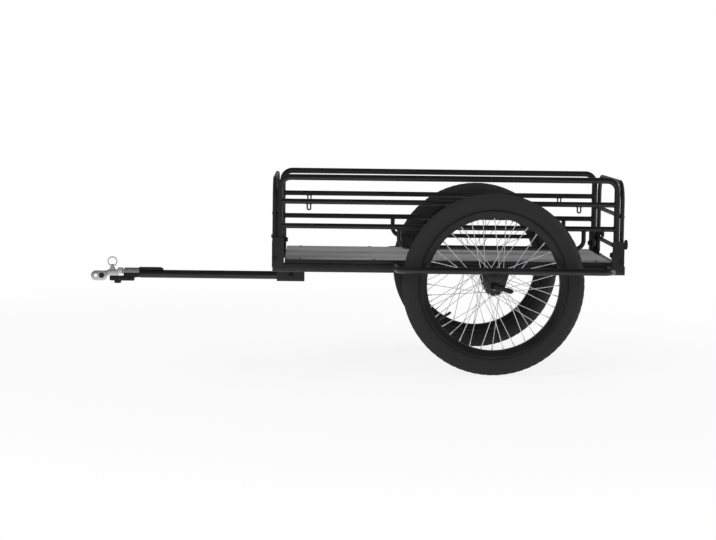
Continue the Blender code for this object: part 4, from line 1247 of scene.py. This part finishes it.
@dataclass
class AxleSet:
    """An axle with its spacers, the inner nut and the outer cam lever."""

    side: Side
    inner_face: float = RAIL_FACE + GAP + DROPOUT - HALF_TRACK
    outer_face: float = OUTER_BAR_Y - DROPOUT / 2 - HALF_TRACK
    shaft: float = 0.005
    spacer: float = 0.008
    bearing_face: float = 0.036
    tilt: float = math.radians(15)
    cam_radius: float = 0.0090
    cam_half: float = 0.0075
    arm_side: Outline = (
        (-0.003, 0.0064), (0.008, 0.0062), (0.018, 0.0056), (0.026, 0.0059), (0.034, 0.0068),
        (0.042, 0.0069), (0.048, 0.0058), (0.0505, 0.0032),
    )

    def axle(self) -> None:
        """Turns the axle with its two spacers."""
        sign, shaft, bearing = self.side.value, self.shaft, self.bearing_face
        inner, outer = self.inner_face + GAP, self.outer_face - GAP
        tip, end = self.inner_face - 0.0150, self.outer_face + 0.004
        stations = [(tip, shaft - 0.0008), (tip + 0.0006, shaft), (inner, shaft)]
        stations += [*chamfered(inner, -bearing, self.spacer, 0.0004), (-bearing, shaft), (bearing, shaft)]
        stations += [*chamfered(bearing, outer, self.spacer, 0.0004), (outer, shaft)]
        stations += [(end - 0.0006, shaft), (end, shaft - 0.0006)]
        centre = (AXLE_X, sign * HALF_TRACK, AXLE_Z)
        blank = Blank().turned_bar(stations, centre, (0, sign, 0), 36)
        blank.settle(f"axle_shaft_{self.side.tag}", ZINC_PLATE, "frame", f"axle_{self.side.tag}")

    def lever(self) -> None:
        """Makes the cam and its arm, thinned in the middle and rounded all over."""
        sign, radius = self.side.value, self.cam_radius
        c, s = math.cos(self.tilt), math.sin(self.tilt)
        arm, cam_axis, outward = Vector((c, 0, -s)), Vector((s, 0, c)), Vector((0, sign, 0))
        centre = Vector((AXLE_X, sign * (OUTER_BAR_Y + DROPOUT / 2 + GAP + radius), AXLE_Z))
        outline = [(u, -v) for u, v in self.arm_side] + [(0.0512, 0.0), *reversed(self.arm_side)]

        def place(u: float, v: float, depth: float) -> Vector:
            """Outline along the arm and the cam, depth outwards."""
            return centre + arm * u + cam_axis * v + outward * depth

        cam = chamfered(-self.cam_half, self.cam_half, radius, 0.0008)
        blank = Blank().turned_bar(cam, centre, cam_axis).block(outline, place, (0.0035, 0.0085), 0.0013, 3)
        name = f"axle_lever_{self.side.tag}"
        blank.settle(f"cam_lever_{self.side.tag}", BLACK_ZINC, name, name)

    def build(self) -> None:
        """Makes the axle and the lever, and dresses the nut."""
        self.axle()
        self.lever()
        dress(BLACK_ZINC, f"axle_nut_{self.side.tag}")


# Panels.


@dataclass
class SidePanel:
    """A bent tube with two bars, a wheel guard, tie eyes and two weld nuts."""

    side: Side
    top_z: float = 0.5487
    bend: float = 0.029
    bar_zs: Pair = (0.480, 0.4105)
    bar_radius: float = 0.0075
    guard_radius: float = 0.0064
    guard_z: float = 0.3535
    guard_half: float = 0.2635
    guard_bend: float = 0.024
    eye_offsets: Pair = (0.0815, 0.8505)
    eye_wire: float = 0.0022
    eye_half: float = 0.0048
    eye_drop: float = 0.0235
    eye_bend: float = 0.0046

    def loop(
        self, blank: Blank, xs: Pair, zs: Pair, lap: float, radius: float, bend: float, steps: int = 12
    ) -> None:
        """Adds a U that hangs from a bar, welded to it at both ends.

        Args:
            blank: the panel's blank.
            xs: the U's two legs.
            zs: height of the bar and of the U's bottom.
            lap: how far the legs reach into the bar.
            radius: the U's tube or wire.
            bend: radius of its bends.
            steps: points in each bend.
        """
        y, (left, right), (bar, low) = self.side.value * RAIL_Y, xs, zs
        path = [(left, y, bar - lap), (left, y, low), (right, y, low), (right, y, bar - lap)]
        blank.bend(path, radius, bend, steps)
        for x in xs:
            blank.weld((x, y, bar), (0, 0, -1), (1, 0, 0), radius, self.bar_radius)

    def build(self) -> None:
        """Makes the panel in one piece, as it is welded."""
        y, (upper, lower) = self.side.value * RAIL_Y, self.bar_zs
        front, rear = SIDE_PANEL_XS.values()
        low, top = SIDE_HINGE_Z - SIDE_TUBE, self.top_z
        path = [(front, y, low), (front, y, top), (rear, y, top), (rear, y, low)]
        blank = Blank().bend(path, SIDE_TUBE, self.bend)
        for z in self.bar_zs:
            blank.bend([(front + 0.002, y, z), (rear - 0.002, y, z)], self.bar_radius)
            for end, x in SIDE_PANEL_XS.items():
                blank.weld((x, y, z), (-end.value, 0, 0), (0, 0, 1), self.bar_radius, SIDE_TUBE)
        guard = (AXLE_X - self.guard_half, AXLE_X + self.guard_half)
        self.loop(blank, guard, (lower, self.guard_z), 0.001, self.guard_radius, self.guard_bend)
        for offset in self.eye_offsets:
            legs = (front + offset - self.eye_half, front + offset + self.eye_half)
            self.loop(blank, legs, (upper, upper - self.eye_drop), 0.002, self.eye_wire, self.eye_bend, 8)
        nut = ((0.004, 0.0058), (SIDE_TUBE + 0.0044, 0.0058), (SIDE_TUBE + 0.0050, 0.0052))
        collar = ((0.006, 0.0066), (SIDE_TUBE + 0.0010, 0.0063))
        for end, x in SIDE_PANEL_XS.items():
            for stations, sides in ((nut, 6), (collar, 16)):
                blank.turned_bar(stations, (x, y, LOCK_ZS[end]), (-end.value, 0, 0), sides)
        name = f"side_panel_{self.side.tag}"
        blank.settle(f"welded_{name}", BLACK_PAINT, name, name)


@dataclass
class EndPanel:
    """The front panel or the tailgate: a wide bent tube with two bars."""

    node: str
    end: End
    top_z: float = 0.543
    bend: float = 0.055
    bar_zs: Pair = (0.446, 0.353)
    bar_radius: float = 0.0062

    def build(self) -> None:
        """Makes the panel in one piece, as it is welded."""
        x, y, low, top = END_PANEL_XS[self.end], RAIL_Y, END_HINGE_Z - END_TUBE, self.top_z
        blank = Blank().bend([(x, -y, low), (x, -y, top), (x, y, top), (x, y, low)], END_TUBE, self.bend, 18)
        for z in self.bar_zs:
            blank.bend([(x, -y + 0.002, z), (x, y - 0.002, z)], self.bar_radius)
            for side in Side:
                blank.weld((x, side.value * y, z), (0, -side.value, 0), (0, 0, 1), self.bar_radius, END_TUBE)
        blank.settle(f"welded_{self.node}", BLACK_PAINT, self.node, self.node)


# Hinges and locks.


@dataclass
class HingeBolt:
    """A flanged hex bolt along +X: its head stands on X = 0 and its shank runs to reach."""

    head: float
    head_radius: float
    reach: float
    shank: float = 0.004
    flange: float = 0.0010
    crown: float = 0.0007
    tip: float = 0.0008

    def make(self) -> Obj:
        """Turns the head, its flange and the shank."""
        head, wide, flange, crown, reach = self.head, self.head_radius, self.flange, self.crown, self.reach
        hexagon = ((-head, wide - crown), (-head + crown, wide), (-flange, wide))
        washer = ((-flange - 0.0003, wide * 0.98), (-flange, wide), (0.0, wide))
        shank = ((-0.001, self.shank), (reach - self.tip, self.shank), (reach, self.shank - self.tip))
        blank = Blank()
        for stations, sides in ((hexagon, 6), (washer, 28), (shank, 20)):
            blank.turned_bar(stations, (0, 0, 0), (1, 0, 0), sides)
        return blank.shape("bolt")


@dataclass
class CornerHardware:
    """The four corner brackets, kept as solids, and their hinge bolts."""

    side_bolt: HingeBolt
    end_bolt: HingeBolt
    seat: float = 0.0008

    def build(self) -> None:
        """Dresses the brackets and sets both kinds of bolt."""
        places: dict[str, list[tuple[Point, Point]]] = {"side": [], "end": []}
        nodes: dict[str, list[str]] = {"side": [], "end": []}
        plate = RAIL_FACE + GAP + BRACKET + GAP
        for end in End:
            face = SIDE_PANEL_XS[end] - end.value * (SIDE_TUBE + self.seat + BRACKET + GAP)
            turn = 0.0 if end is End.REAR else math.pi
            for side in Side:
                corner, across = f"{end.tag}_{side.tag}", -math.pi / 2 * side.value
                dress(BLACK_PAINT, f"corner_bracket_{corner}")
                places["side"].append(((face, side.value * RAIL_Y, SIDE_HINGE_Z), (0.0, 0.0, turn)))
                spot = (END_PANEL_XS[end], side.value * plate, END_HINGE_Z)
                places["end"].append((spot, (0.0, 0.0, across)))
                for kind, names in nodes.items():
                    names.append(f"{kind}_hinge_bolt_{corner}")
        for kind, bolt in (("side", self.side_bolt), ("end", self.end_bolt)):
            bolts = Blank().take(set_at(bolt.make(), BLACK_ZINC, places[kind]))
            bolts.settle(f"{kind}_hinge_bolts", BLACK_ZINC, "frame", *nodes[kind])


@dataclass
class Locks:
    """The front panel's button-head lock screws and the tailgate's knobs."""

    through: float = 2 * END_TUBE + GAP
    lobes: int = 12
    lobe_radius: float = 0.0116
    screw: Outline = (
        (0.0, 0.0030), (0.0, 0.0060), (0.0008, 0.0060), (0.0018, 0.0053), (0.0025, 0.0040),
        (0.0028, 0.0028), (0.0028, 0.0018), (0.0016, 0.0017),
    )
    knob: Outline = (
        (0.0, 0.0058), (0.0004, 0.0062), (0.0022, 0.0062), (0.0022, 0.0120), (0.0030, 0.0126),
        (0.0090, 0.0126), (0.0099, 0.0114), (0.0102, 0.0100), (0.0102, 0.0060), (0.0096, 0.0054),
    )
    lobe: Outline = ((0.0026, 0.0018), (0.0032, 0.0024), (0.0084, 0.0024), (0.0092, 0.0016))

    def screws(self) -> None:
        """Turns the two screws."""
        x = END_PANEL_XS[End.FRONT] - END_TUBE - GAP
        stations = [(-self.through, 0.0026), (-self.through + 0.0006, 0.0030), *self.screw]
        for side in Side:
            blank = Blank().turned_bar(stations, (x, side.value * RAIL_Y, LOCK_ZS[End.FRONT]), (-1, 0, 0), 28)
            node = f"lock_screw_front_{side.tag}"
            blank.settle(f"button_screw_{side.tag}", BLACK_ZINC, "front_panel", node)

    def knobs(self) -> None:
        """Makes each knob: a fluted head with its collar, and a stud."""
        stud = ((-self.through, 0.0026), (-self.through + 0.0006, 0.0030), (0.0004, 0.0030))
        for side in Side:
            x, y, z = END_PANEL_XS[End.REAR] + END_TUBE + GAP, side.value * RAIL_Y, LOCK_ZS[End.REAR]
            node = f"lock_knob_{side.tag}"
            blank = Blank().turned_bar(self.knob, (x, y, z), (1, 0, 0), 48)
            for v, w in arc((y, z), self.lobe_radius, 90, -270, self.lobes)[:-1]:
                blank.turned_bar(self.lobe, (x, v, w), (1, 0, 0), 12)
            blank.settle(f"knob_{side.tag}", KNOB_PLASTIC, node, node)
            turned = Blank().turned_bar(stud, (x, y, z), (1, 0, 0), 20)
            turned.settle(f"knob_stud_{side.tag}", BLACK_ZINC, node, node)

    def build(self) -> None:
        """Makes all the locks."""
        self.screws()
        self.knobs()


# Drawbar and hitch.


@dataclass
class Drawbar:
    """The receiver under the frame, its pull pin, the round bar and the forged end."""

    receiver_xs: Pair = (AXLE_X - 0.614, AXLE_X - 0.532)
    receiver_half: float = 0.0165
    receiver_corner: float = 0.0022
    plate_front: float = AXLE_X - 0.621
    pin_x: float = AXLE_X - 0.572
    strap_rear_x: float = AXLE_X - 0.9493
    jaw_rear_x: float = AXLE_X - 1.0354
    jaw_bolt_x: float = AXLE_X - 1.0843
    jaw_zs: Pair = (0.2267, 0.2405)
    neck_top: float = 0.2643
    forged_half: float = 0.0105
    grip: Outline = (
        (0.0, 0.0040), (0.0, 0.0076), (0.0004, 0.0080), (0.0012, 0.0080), (0.0015, 0.0076),
        (0.0019, 0.0076), (0.0022, 0.0080), (0.0038, 0.0080), (0.0048, 0.0072), (0.0052, 0.0060),
    )

    def receiver(self) -> None:
        """Makes the socket with its plate, web, bore and beads."""
        (front, rear), half, sides = self.receiver_xs, self.receiver_half, 48
        z, top = TOW_BAR_Z, RAIL_Z - RAIL_SIZE / 2 - GAP
        outer, inner = [], []
        for i in range(sides):
            angle = 2 * math.pi * (i + 0.5) / sides
            c, s = math.cos(angle), math.sin(angle)
            reach = half / max(abs(c), abs(s))
            u, v = c * reach, s * reach
            fold = max(0.0, abs(u) + abs(v) - (2 * half - self.receiver_corner)) / 2
            outer.append((u - math.copysign(fold, u), v - math.copysign(fold, v)))
            inner.append(((TOW_BAR_RADIUS + GAP) * c, (TOW_BAR_RADIUS + GAP) * s))
        sections = [(front, outer, 0.96), (front + 0.0008, outer, 1.0), (rear - 0.0008, outer, 1.0)]
        sections += [(rear, outer, 0.96), (rear, inner, 1.0), (front, inner, 1.0)]
        rings = [[(x, u * grow, z + v * grow) for u, v in points] for x, points, grow in sections]
        plate = Blank().box((self.plate_front, -0.035, top - 0.004), (rear + 0.006, 0.035, top))
        blank = Blank().loft(rings, looped=True).take(baked(plate.shape("plate", 0.0008)))
        blank.box((front + 0.004, -0.012, z + half - 0.001), (rear - 0.004, 0.012, top - 0.001))
        length, steps = rear - front - 0.010, 28
        for y in (-0.0125, 0.0125):
            for seam_z in (z + half + 0.0002, top - 0.0042):
                ripple = [0.0002 * math.sin(1.9 * i) for i in range(steps + 1)]
                seam = [(front + 0.005 + length * i / steps, y, seam_z + w) for i, w in enumerate(ripple)]
                blank.bend(seam, 0.0015, steps=1)
        blank.settle("welded_receiver", BLACK_PAINT, "frame", "receiver")

    def pin(self) -> None:
        """Turns the receiver's pull pin with a ribbed grip."""
        through = 2 * self.receiver_half + 0.005
        stations = [(-through, 0.0026), (-through + 0.0016, 0.0040), *self.grip]
        blank = Blank().turned_bar(stations, (self.pin_x, -self.receiver_half - GAP, TOW_BAR_Z), (0, -1, 0))
        blank.settle("pull_pin", BLACK_ZINC, "receiver_pin", "receiver_pin")

    def bar(self) -> None:
        """Makes the round drawbar as a pipe."""
        start, end, inner = TOW_FRONT_X, self.receiver_xs[1] - 0.004, TOW_BAR_RADIUS - TOW_BAR_WALL
        stations = [*chamfered(start, end, TOW_BAR_RADIUS, 0.0003), (end, inner), (start, inner)]
        blank = Blank().turned_bar(stations, (0, 0, TOW_BAR_Z), (1, 0, 0), 40, looped=True)
        blank.settle("drawbar_tube", BLACK_PAINT, "frame", "tow_bar")

    def forging(self) -> None:
        """Makes the forged end: neck, foot, lower jaw, strap and plug."""
        half, waist, lap = self.forged_half, 0.2505, 0.0004
        front, rear, strap_rear = HITCH_X + 0.0335, TOW_FRONT_X - GAP, self.strap_rear_x
        low, top = TOW_BAR_Z + TOW_BAR_RADIUS + GAP, self.neck_top
        high = low + 0.0072
        neck = [(front, waist - lap), (rear, waist - lap), (rear, top)]
        neck += [(front + 0.004, top), (front, top - 0.003)]
        foot = [(front, 0.2300), (self.jaw_rear_x + 0.0054, 0.2365), (rear, 0.2375)]
        foot += [(rear, waist + lap), (front, waist + lap)]
        jaw = [(self.jaw_rear_x, -half), (self.jaw_rear_x, half)]
        jaw += arc((HITCH_X + 0.0020, 0), half, 90, 270, 20)
        strap = [(rear - 0.004, low), (strap_rear, low), (strap_rear, low + 0.0030)]
        strap += [(strap_rear - 0.008, high), (rear - 0.001, high), (rear - 0.004, top - 0.001)]
        cheeks = (-half + 0.0005, half - 0.0005)
        # The neck's lighter zinc is a painted highlight on the one forging.
        block = Blank().block(neck, xz_plane, cheeks, 0.0012, 3)
        block.settle("forged_neck", HIGHLIGHT_PAINTED_ZINC, "frame", "drawbar_end")
        blank = Blank().block(foot, xz_plane, cheeks, 0.0010, 3)
        blank.block(jaw, xy_plane, (self.jaw_zs[0], self.jaw_zs[1] - GAP), 0.0010, 3)
        blank.block(strap, xz_plane, (-0.0085, 0.0085), 0.0009)
        plug = TOW_BAR_RADIUS - TOW_BAR_WALL - GAP
        stations = ((rear - 0.003, plug), (rear + 0.034, plug), (rear + 0.035, plug - 0.001))
        blank.turned_bar(stations, (0, 0, TOW_BAR_Z), (1, 0, 0))
        blank.settle("forged_end", BLACK_ZINC, "frame", "drawbar_end")

    def jaw_bolt(self) -> None:
        """Makes the hex bolt under the jaw."""
        face, down = (self.jaw_bolt_x, 0, self.jaw_zs[0] - GAP), (0, 0, -1)
        blank = Blank().turned_bar(((0.0, 0.0112), (0.0060, 0.0112), (0.0072, 0.0100)), face, down, 6)
        blank.turned_bar(((-0.0088, 0.0034), (-0.0082, 0.0040), (0.001, 0.0040)), face, down, 24)
        blank.settle("hex_jaw_bolt", BLACK_ZINC, "frame", "jaw_bolt")

    def build(self) -> None:
        """Makes the receiver, pin, bar, forging and jaw bolt."""
        self.receiver()
        self.pin()
        self.bar()
        self.forging()
        self.jaw_bolt()


@dataclass
class Hitch:
    """The swivelling coupler, the oval axle plate with its bolt, the hitch pin and its ring."""

    pitch: Pair = (AXLE_X - 1.1304, 0.2425)
    block_zs: Pair = (0.2415, 0.2585)
    raised_zs: Pair = (0.2476, 0.2643)
    rear_radius: float = 0.0322
    half: float = 0.0112
    plate_ys: Pair = (-0.0150, -0.0120)
    plate_centre: Pair = (AXLE_X - 1.1380, 0.2418)
    plate_half_length: float = 0.0242
    plate_end_radius: float = 0.0148
    hole_x: float = AXLE_X - 1.1480
    hole_radius: float = 0.0049
    pitch_hole_radius: float = 0.0043
    ring_hole_height: float = 0.0112
    ring_hole_radius: float = 0.0025
    ring_radius: float = 0.0130
    ring_wire: float = 0.0017

    @property
    def pin_foot(self) -> Vector:
        """Where the hitch pin's head stands on the coupler."""
        return Vector((HITCH_X, 0, self.block_zs[1] + GAP))

    def coupler(self) -> None:
        """Makes the block, its raised rear and its lug."""
        front, raised_front, half, (x, z) = HITCH_X - 0.0135, HITCH_X + 0.0163, self.half, self.pitch
        rear, lug_front, lug_rear = raised_front + 0.0010, x - 0.0111, front + 0.0010
        block = [(front, half), (front, -half), (rear, -half), (rear, half)]
        spread = math.degrees(math.asin(half / self.rear_radius)) - 0.6
        raised = [(raised_front, half - 0.0003), (raised_front, 0.0003 - half)]
        raised += arc((HITCH_X, 0), self.rear_radius, -spread, spread, 8)
        lug = [(lug_rear, z + 0.0130), (lug_front + 0.0035, z + 0.0105), (lug_front, z + 0.0065)]
        lug += [(lug_front, z - 0.0060), (lug_front + 0.0045, z - 0.0105), (x + 0.0054, z - 0.0105)]
        lug.append((lug_rear, z + 0.0003))
        blank = Blank().block(block, xy_plane, self.block_zs, 0.0012, 3)
        blank.block(raised, xy_plane, self.raised_zs, 0.0010, 3)
        blank.block(lug, xz_plane, (0.0004 - half, half - 0.0004), 0.0010, 3)
        blank.settle("swivel_block", ZINC_PLATE, "coupler", "coupler_block")

    def pitch_bolt(self) -> None:
        """Makes the hex bolt that the plate pitches on."""
        face, out = (self.pitch[0], self.plate_ys[0] - GAP, self.pitch[1]), (0, -1, 0)
        blank = Blank().turned_bar(((0.0, 0.0085), (0.0042, 0.0085), (0.0050, 0.0076)), face, out, 6)
        blank.turned_bar(((-0.0290, 0.0032), (-0.0282, 0.0040), (0.001, 0.0040)), face, out, 24)
        blank.settle("hex_pitch_bolt", BLACK_ZINC, "coupler", "pitch_bolt")

    def axle_plate(self) -> None:
        """Makes the oval plate and drills its two holes."""
        (x, z), end = self.plate_centre, self.plate_end_radius
        flat = self.plate_half_length - end
        outline = arc((x + flat, z), end, -90, 90, 24) + arc((x - flat, z), end, 90, 270, 24)
        plate = Blank().prism(outline, xz_plane, *self.plate_ys).shape("plate", 0.0006)
        cutters = Blank()
        holes = ((self.pitch, self.pitch_hole_radius), ((self.hole_x, z), self.hole_radius))
        for (u, v), r in holes:
            cutters.turned_bar(((-0.02, r), (0.02, r)), (u, sum(self.plate_ys) / 2, v), (0, 1, 0))
        drilled_plate = Blank().take(drilled(plate, cutters.shape("cutter")))
        drilled_plate.settle("oval_plate", ZINC_PLATE, "axle_plate", "axle_plate")

    def pin(self) -> None:
        """Turns the pin and drills its head."""
        stations = (
            (-0.0315, 0.0022), (-0.0311, 0.0026), (-0.0295, 0.0043), (0.0, 0.0043), (0.0, 0.0074),
            (0.0006, 0.0080), (0.0066, 0.0080), (0.0075, 0.0072), (0.0075, 0.0047), (0.0079, 0.0043),
            (0.0140, 0.0043), (0.0152, 0.0038), (0.0157, 0.0030),
        )
        post = Blank().turned_bar(stations, self.pin_foot, (0, 0, 1)).shape("pin")
        hole = self.pin_foot + Vector((0, 0, self.ring_hole_height))
        bore = ((-0.02, self.ring_hole_radius), (0.02, self.ring_hole_radius))
        cutter = Blank().turned_bar(bore, hole, (1, 0, 0), 20).shape("cutter")
        Blank().take(drilled(post, cutter)).settle("drilled_hitch_pin", ZINC_PLATE, "hitch_pin", "hitch_pin")

    def ring(self) -> None:
        """Bends the pull ring."""
        middle = self.pin_foot + Vector((0, 0, self.ring_hole_height + self.ring_radius - 0.0003))
        profile = arc((0.0, self.ring_radius), self.ring_wire, 0, 330, 11)
        Blank().turned_ring(profile, middle, 64).settle("wire_pull_ring", CHROME, "pull_ring", "pull_ring")

    def build(self) -> None:
        """Makes the whole hitch."""
        self.coupler()
        self.pitch_bolt()
        self.axle_plate()
        self.pin()
        self.ring()


# Studio.

WHITE = (1.0, 1.0, 1.0, 1.0)


@dataclass(frozen=True)
class Viewpoint:
    """The camera that sees the trailer as photographed."""

    yaw: float = -0.0235
    pitch: float = 0.0927
    roll: float = 0.0134
    place: Point = (AXLE_X - 0.5075, -5.6962, 0.7948)
    pixels_focal: float = 1929.2
    pixels_wide: float = 716.0
    sensor: float = 36.0

    def set_camera(self) -> None:
        """Makes the camera and gives it to the scene."""
        level = math.cos(self.pitch)
        forward = Vector((-math.sin(self.yaw) * level, math.cos(self.yaw) * level, -math.sin(self.pitch)))
        right = Vector((math.cos(self.yaw), math.sin(self.yaw), 0.0))
        up = right.cross(forward)
        c, s = math.cos(self.roll), math.sin(self.roll)
        data = bpy.data.cameras.new("camera")
        data.lens = self.pixels_focal * self.sensor / self.pixels_wide
        data.sensor_width, data.clip_end = self.sensor, 200.0
        camera = linked("camera", data)
        turn = Matrix((right * c + up * s, up * c - right * s, -forward)).transposed().to_4x4()
        camera.matrix_world = Matrix.Translation(self.place) @ turn
        bpy.context.scene.camera = camera


@dataclass(frozen=True)
class Lamp:
    """A wide square lamp that shines on the trailer."""

    name: str
    place: Point
    power: float
    mirrored: bool = False
    size: float = 2.4
    target: Point = (0.0, 0.0, 0.25)

    def hang(self) -> None:
        """Makes the lamp."""
        data = bpy.data.lights.new(self.name, "AREA")
        data.shape, data.size, data.energy, data.color = "SQUARE", self.size, self.power, WHITE[:3]
        lamp = linked(self.name, data)
        lamp.location = self.place
        lamp.rotation_euler = (Vector(self.target) - Vector(self.place)).to_track_quat("-Z", "Y").to_euler()
        lamp.visible_glossy = self.mirrored


@dataclass
class Studio:
    """A white floor that keeps a soft shadow, a white backdrop, a dim room and three wide lamps."""

    floor_size: float = 60.0
    floor_shades: Pair = (0.78, 0.80)
    floor_shadow_share: float = 0.15
    shadow_radii: Pair = (1.1, 2.6)
    mirrored_radii: Pair = (1.5, 3.4)
    mirrored_level: float = 0.85
    room_level: float = 0.22
    ceiling_level: float = 0.07
    ceiling_heights: Pair = (0.1, 0.6)
    world_light: float = 0.60
    lamps: tuple[Lamp, ...] = (
        Lamp("key", (-2.2, -2.6, 3.0), 62.0),
        Lamp("fill", (1.4, 2.6, 3.0), 42.0),
        Lamp("softbox", (3.4, 0.5, 0.9), 34.0, mirrored=True),
    )

    @staticmethod
    def rays(desk: NodeDesk) -> tuple[Socket, Socket]:
        """Gives what tells a direct ray and what tells a mirrored one."""
        path = desk.add("ShaderNodeLightPath").outputs
        return desk.math("MAXIMUM", path["Is Camera Ray"], path["Is Transmission Ray"]), path["Is Glossy Ray"]

    def floor(self) -> None:
        """Lays the floor: white to the camera, and near the trailer a diffuse share that takes its shadow."""
        half = self.floor_size / 2
        mesh = bpy.data.meshes.new("floor")
        square = [(-half, -half, 0), (half, -half, 0), (half, half, 0), (-half, half, 0)]
        mesh.from_pydata(square, [], [(0, 1, 2, 3)])
        made = bpy.data.materials.new("pale_floor")
        made.use_nodes = True
        desk = NodeDesk(made.node_tree)
        desk.tree.nodes.clear()
        direct, glossy = self.rays(desk)
        place = desk.add("ShaderNodeTexCoord").outputs["Object"]
        pale = desk.tint(desk.noise(place, 1.5), *((shade,) * 3 for shade in self.floor_shades))
        diffuse = desk.add("ShaderNodeBsdfDiffuse", Color=pale).outputs[0]
        reach = desk.add("ShaderNodeVectorMath", {"operation": "LENGTH"}, Vector=place).outputs["Value"]
        mirror = desk.ramp(reach, self.mirrored_level, self.room_level, *self.mirrored_radii)
        level = desk.math("MAXIMUM", direct, desk.math("MULTIPLY", glossy, mirror))
        white_share = desk.ramp(reach, 1.0 - self.floor_shadow_share, 1.0, *self.shadow_radii)
        share = desk.math("MULTIPLY", desk.math("MAXIMUM", direct, glossy), white_share)
        white = desk.add("ShaderNodeEmission", Color=WHITE, Strength=level).outputs[0]
        mix = desk.add("ShaderNodeMixShader")
        for socket, value in zip(mix.inputs, (share, diffuse, white)):
            desk.feed(socket, value)
        desk.add("ShaderNodeOutputMaterial", Surface=mix.outputs[0])
        mesh.materials.append(made)
        linked("floor", mesh)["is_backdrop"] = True

    def surround(self) -> None:
        """Sets the world: white to the camera, and in reflections a dim room with a darker ceiling."""
        world = bpy.data.worlds.new("surround")
        world.use_nodes = True
        bpy.context.scene.world = world
        desk = NodeDesk(world.node_tree)
        desk.tree.nodes.clear()
        direct, glossy = self.rays(desk)
        way = desk.add("ShaderNodeTexCoord").outputs["Generated"]
        height = desk.add("ShaderNodeSeparateXYZ", Vector=way).outputs["Z"]
        room = desk.ramp(height, self.room_level, self.ceiling_level, *self.ceiling_heights)
        level = desk.math("MAXIMUM", desk.math("MULTIPLY", glossy, room), direct)
        lights = desk.math("MULTIPLY", desk.math("SUBTRACT", 1.0, glossy), self.world_light)
        strength = desk.math("MAXIMUM", level, lights)
        light = desk.add("ShaderNodeBackground", Color=WHITE, Strength=strength).outputs[0]
        desk.add("ShaderNodeOutputWorld", Surface=light)

    def build(self) -> None:
        """Makes the floor, the surround and the lamps."""
        self.floor()
        self.surround()
        for lamp in self.lamps:
            lamp.hang()
        bpy.context.scene.view_settings.view_transform = "Standard"


def corners(box: tuple[Vector, Vector]) -> list[list[float]]:
    """A box as plain lists."""
    return [list(corner) for corner in box]


def main() -> None:
    """Builds and dresses the trailer, piece by piece."""
    logging.basicConfig(level=logging.INFO, format="%(name)s: %(message)s")
    sizes = {"cad_box": corners(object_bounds())}
    Viewpoint().set_camera()
    Studio().build()
    valves = {Side.LEFT: math.radians(213.9), Side.RIGHT: math.radians(137)}
    parts: dict[str, Part] = {"ladder frame": LadderFrame(), "deck": Deck()}
    for side in Side:
        parts[f"{side.tag} wheel support"] = WheelSupport(side)
        parts[f"{side.tag} wheel"] = Wheel(side, valves[side])
        parts[f"{side.tag} axle"] = AxleSet(side)
        parts[f"{side.tag} side panel"] = SidePanel(side)
    parts["front panel"] = EndPanel("front_panel", End.FRONT)
    parts["tailgate"] = EndPanel("tailgate", End.REAR)
    side_bolt, end_bolt = HingeBolt(0.0048, 0.0075, 0.0195), HingeBolt(0.0042, 0.0070, 0.0280)
    parts["corner hardware"] = CornerHardware(side_bolt, end_bolt)
    parts["locks"] = Locks()
    parts["drawbar"] = Drawbar()
    parts["hitch"] = Hitch()
    for label, part in parts.items():
        part.build()
        LOG.info("built the %s", label)
    sizes["visual_box"] = corners(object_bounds())


if __name__ == "__main__":
    main()
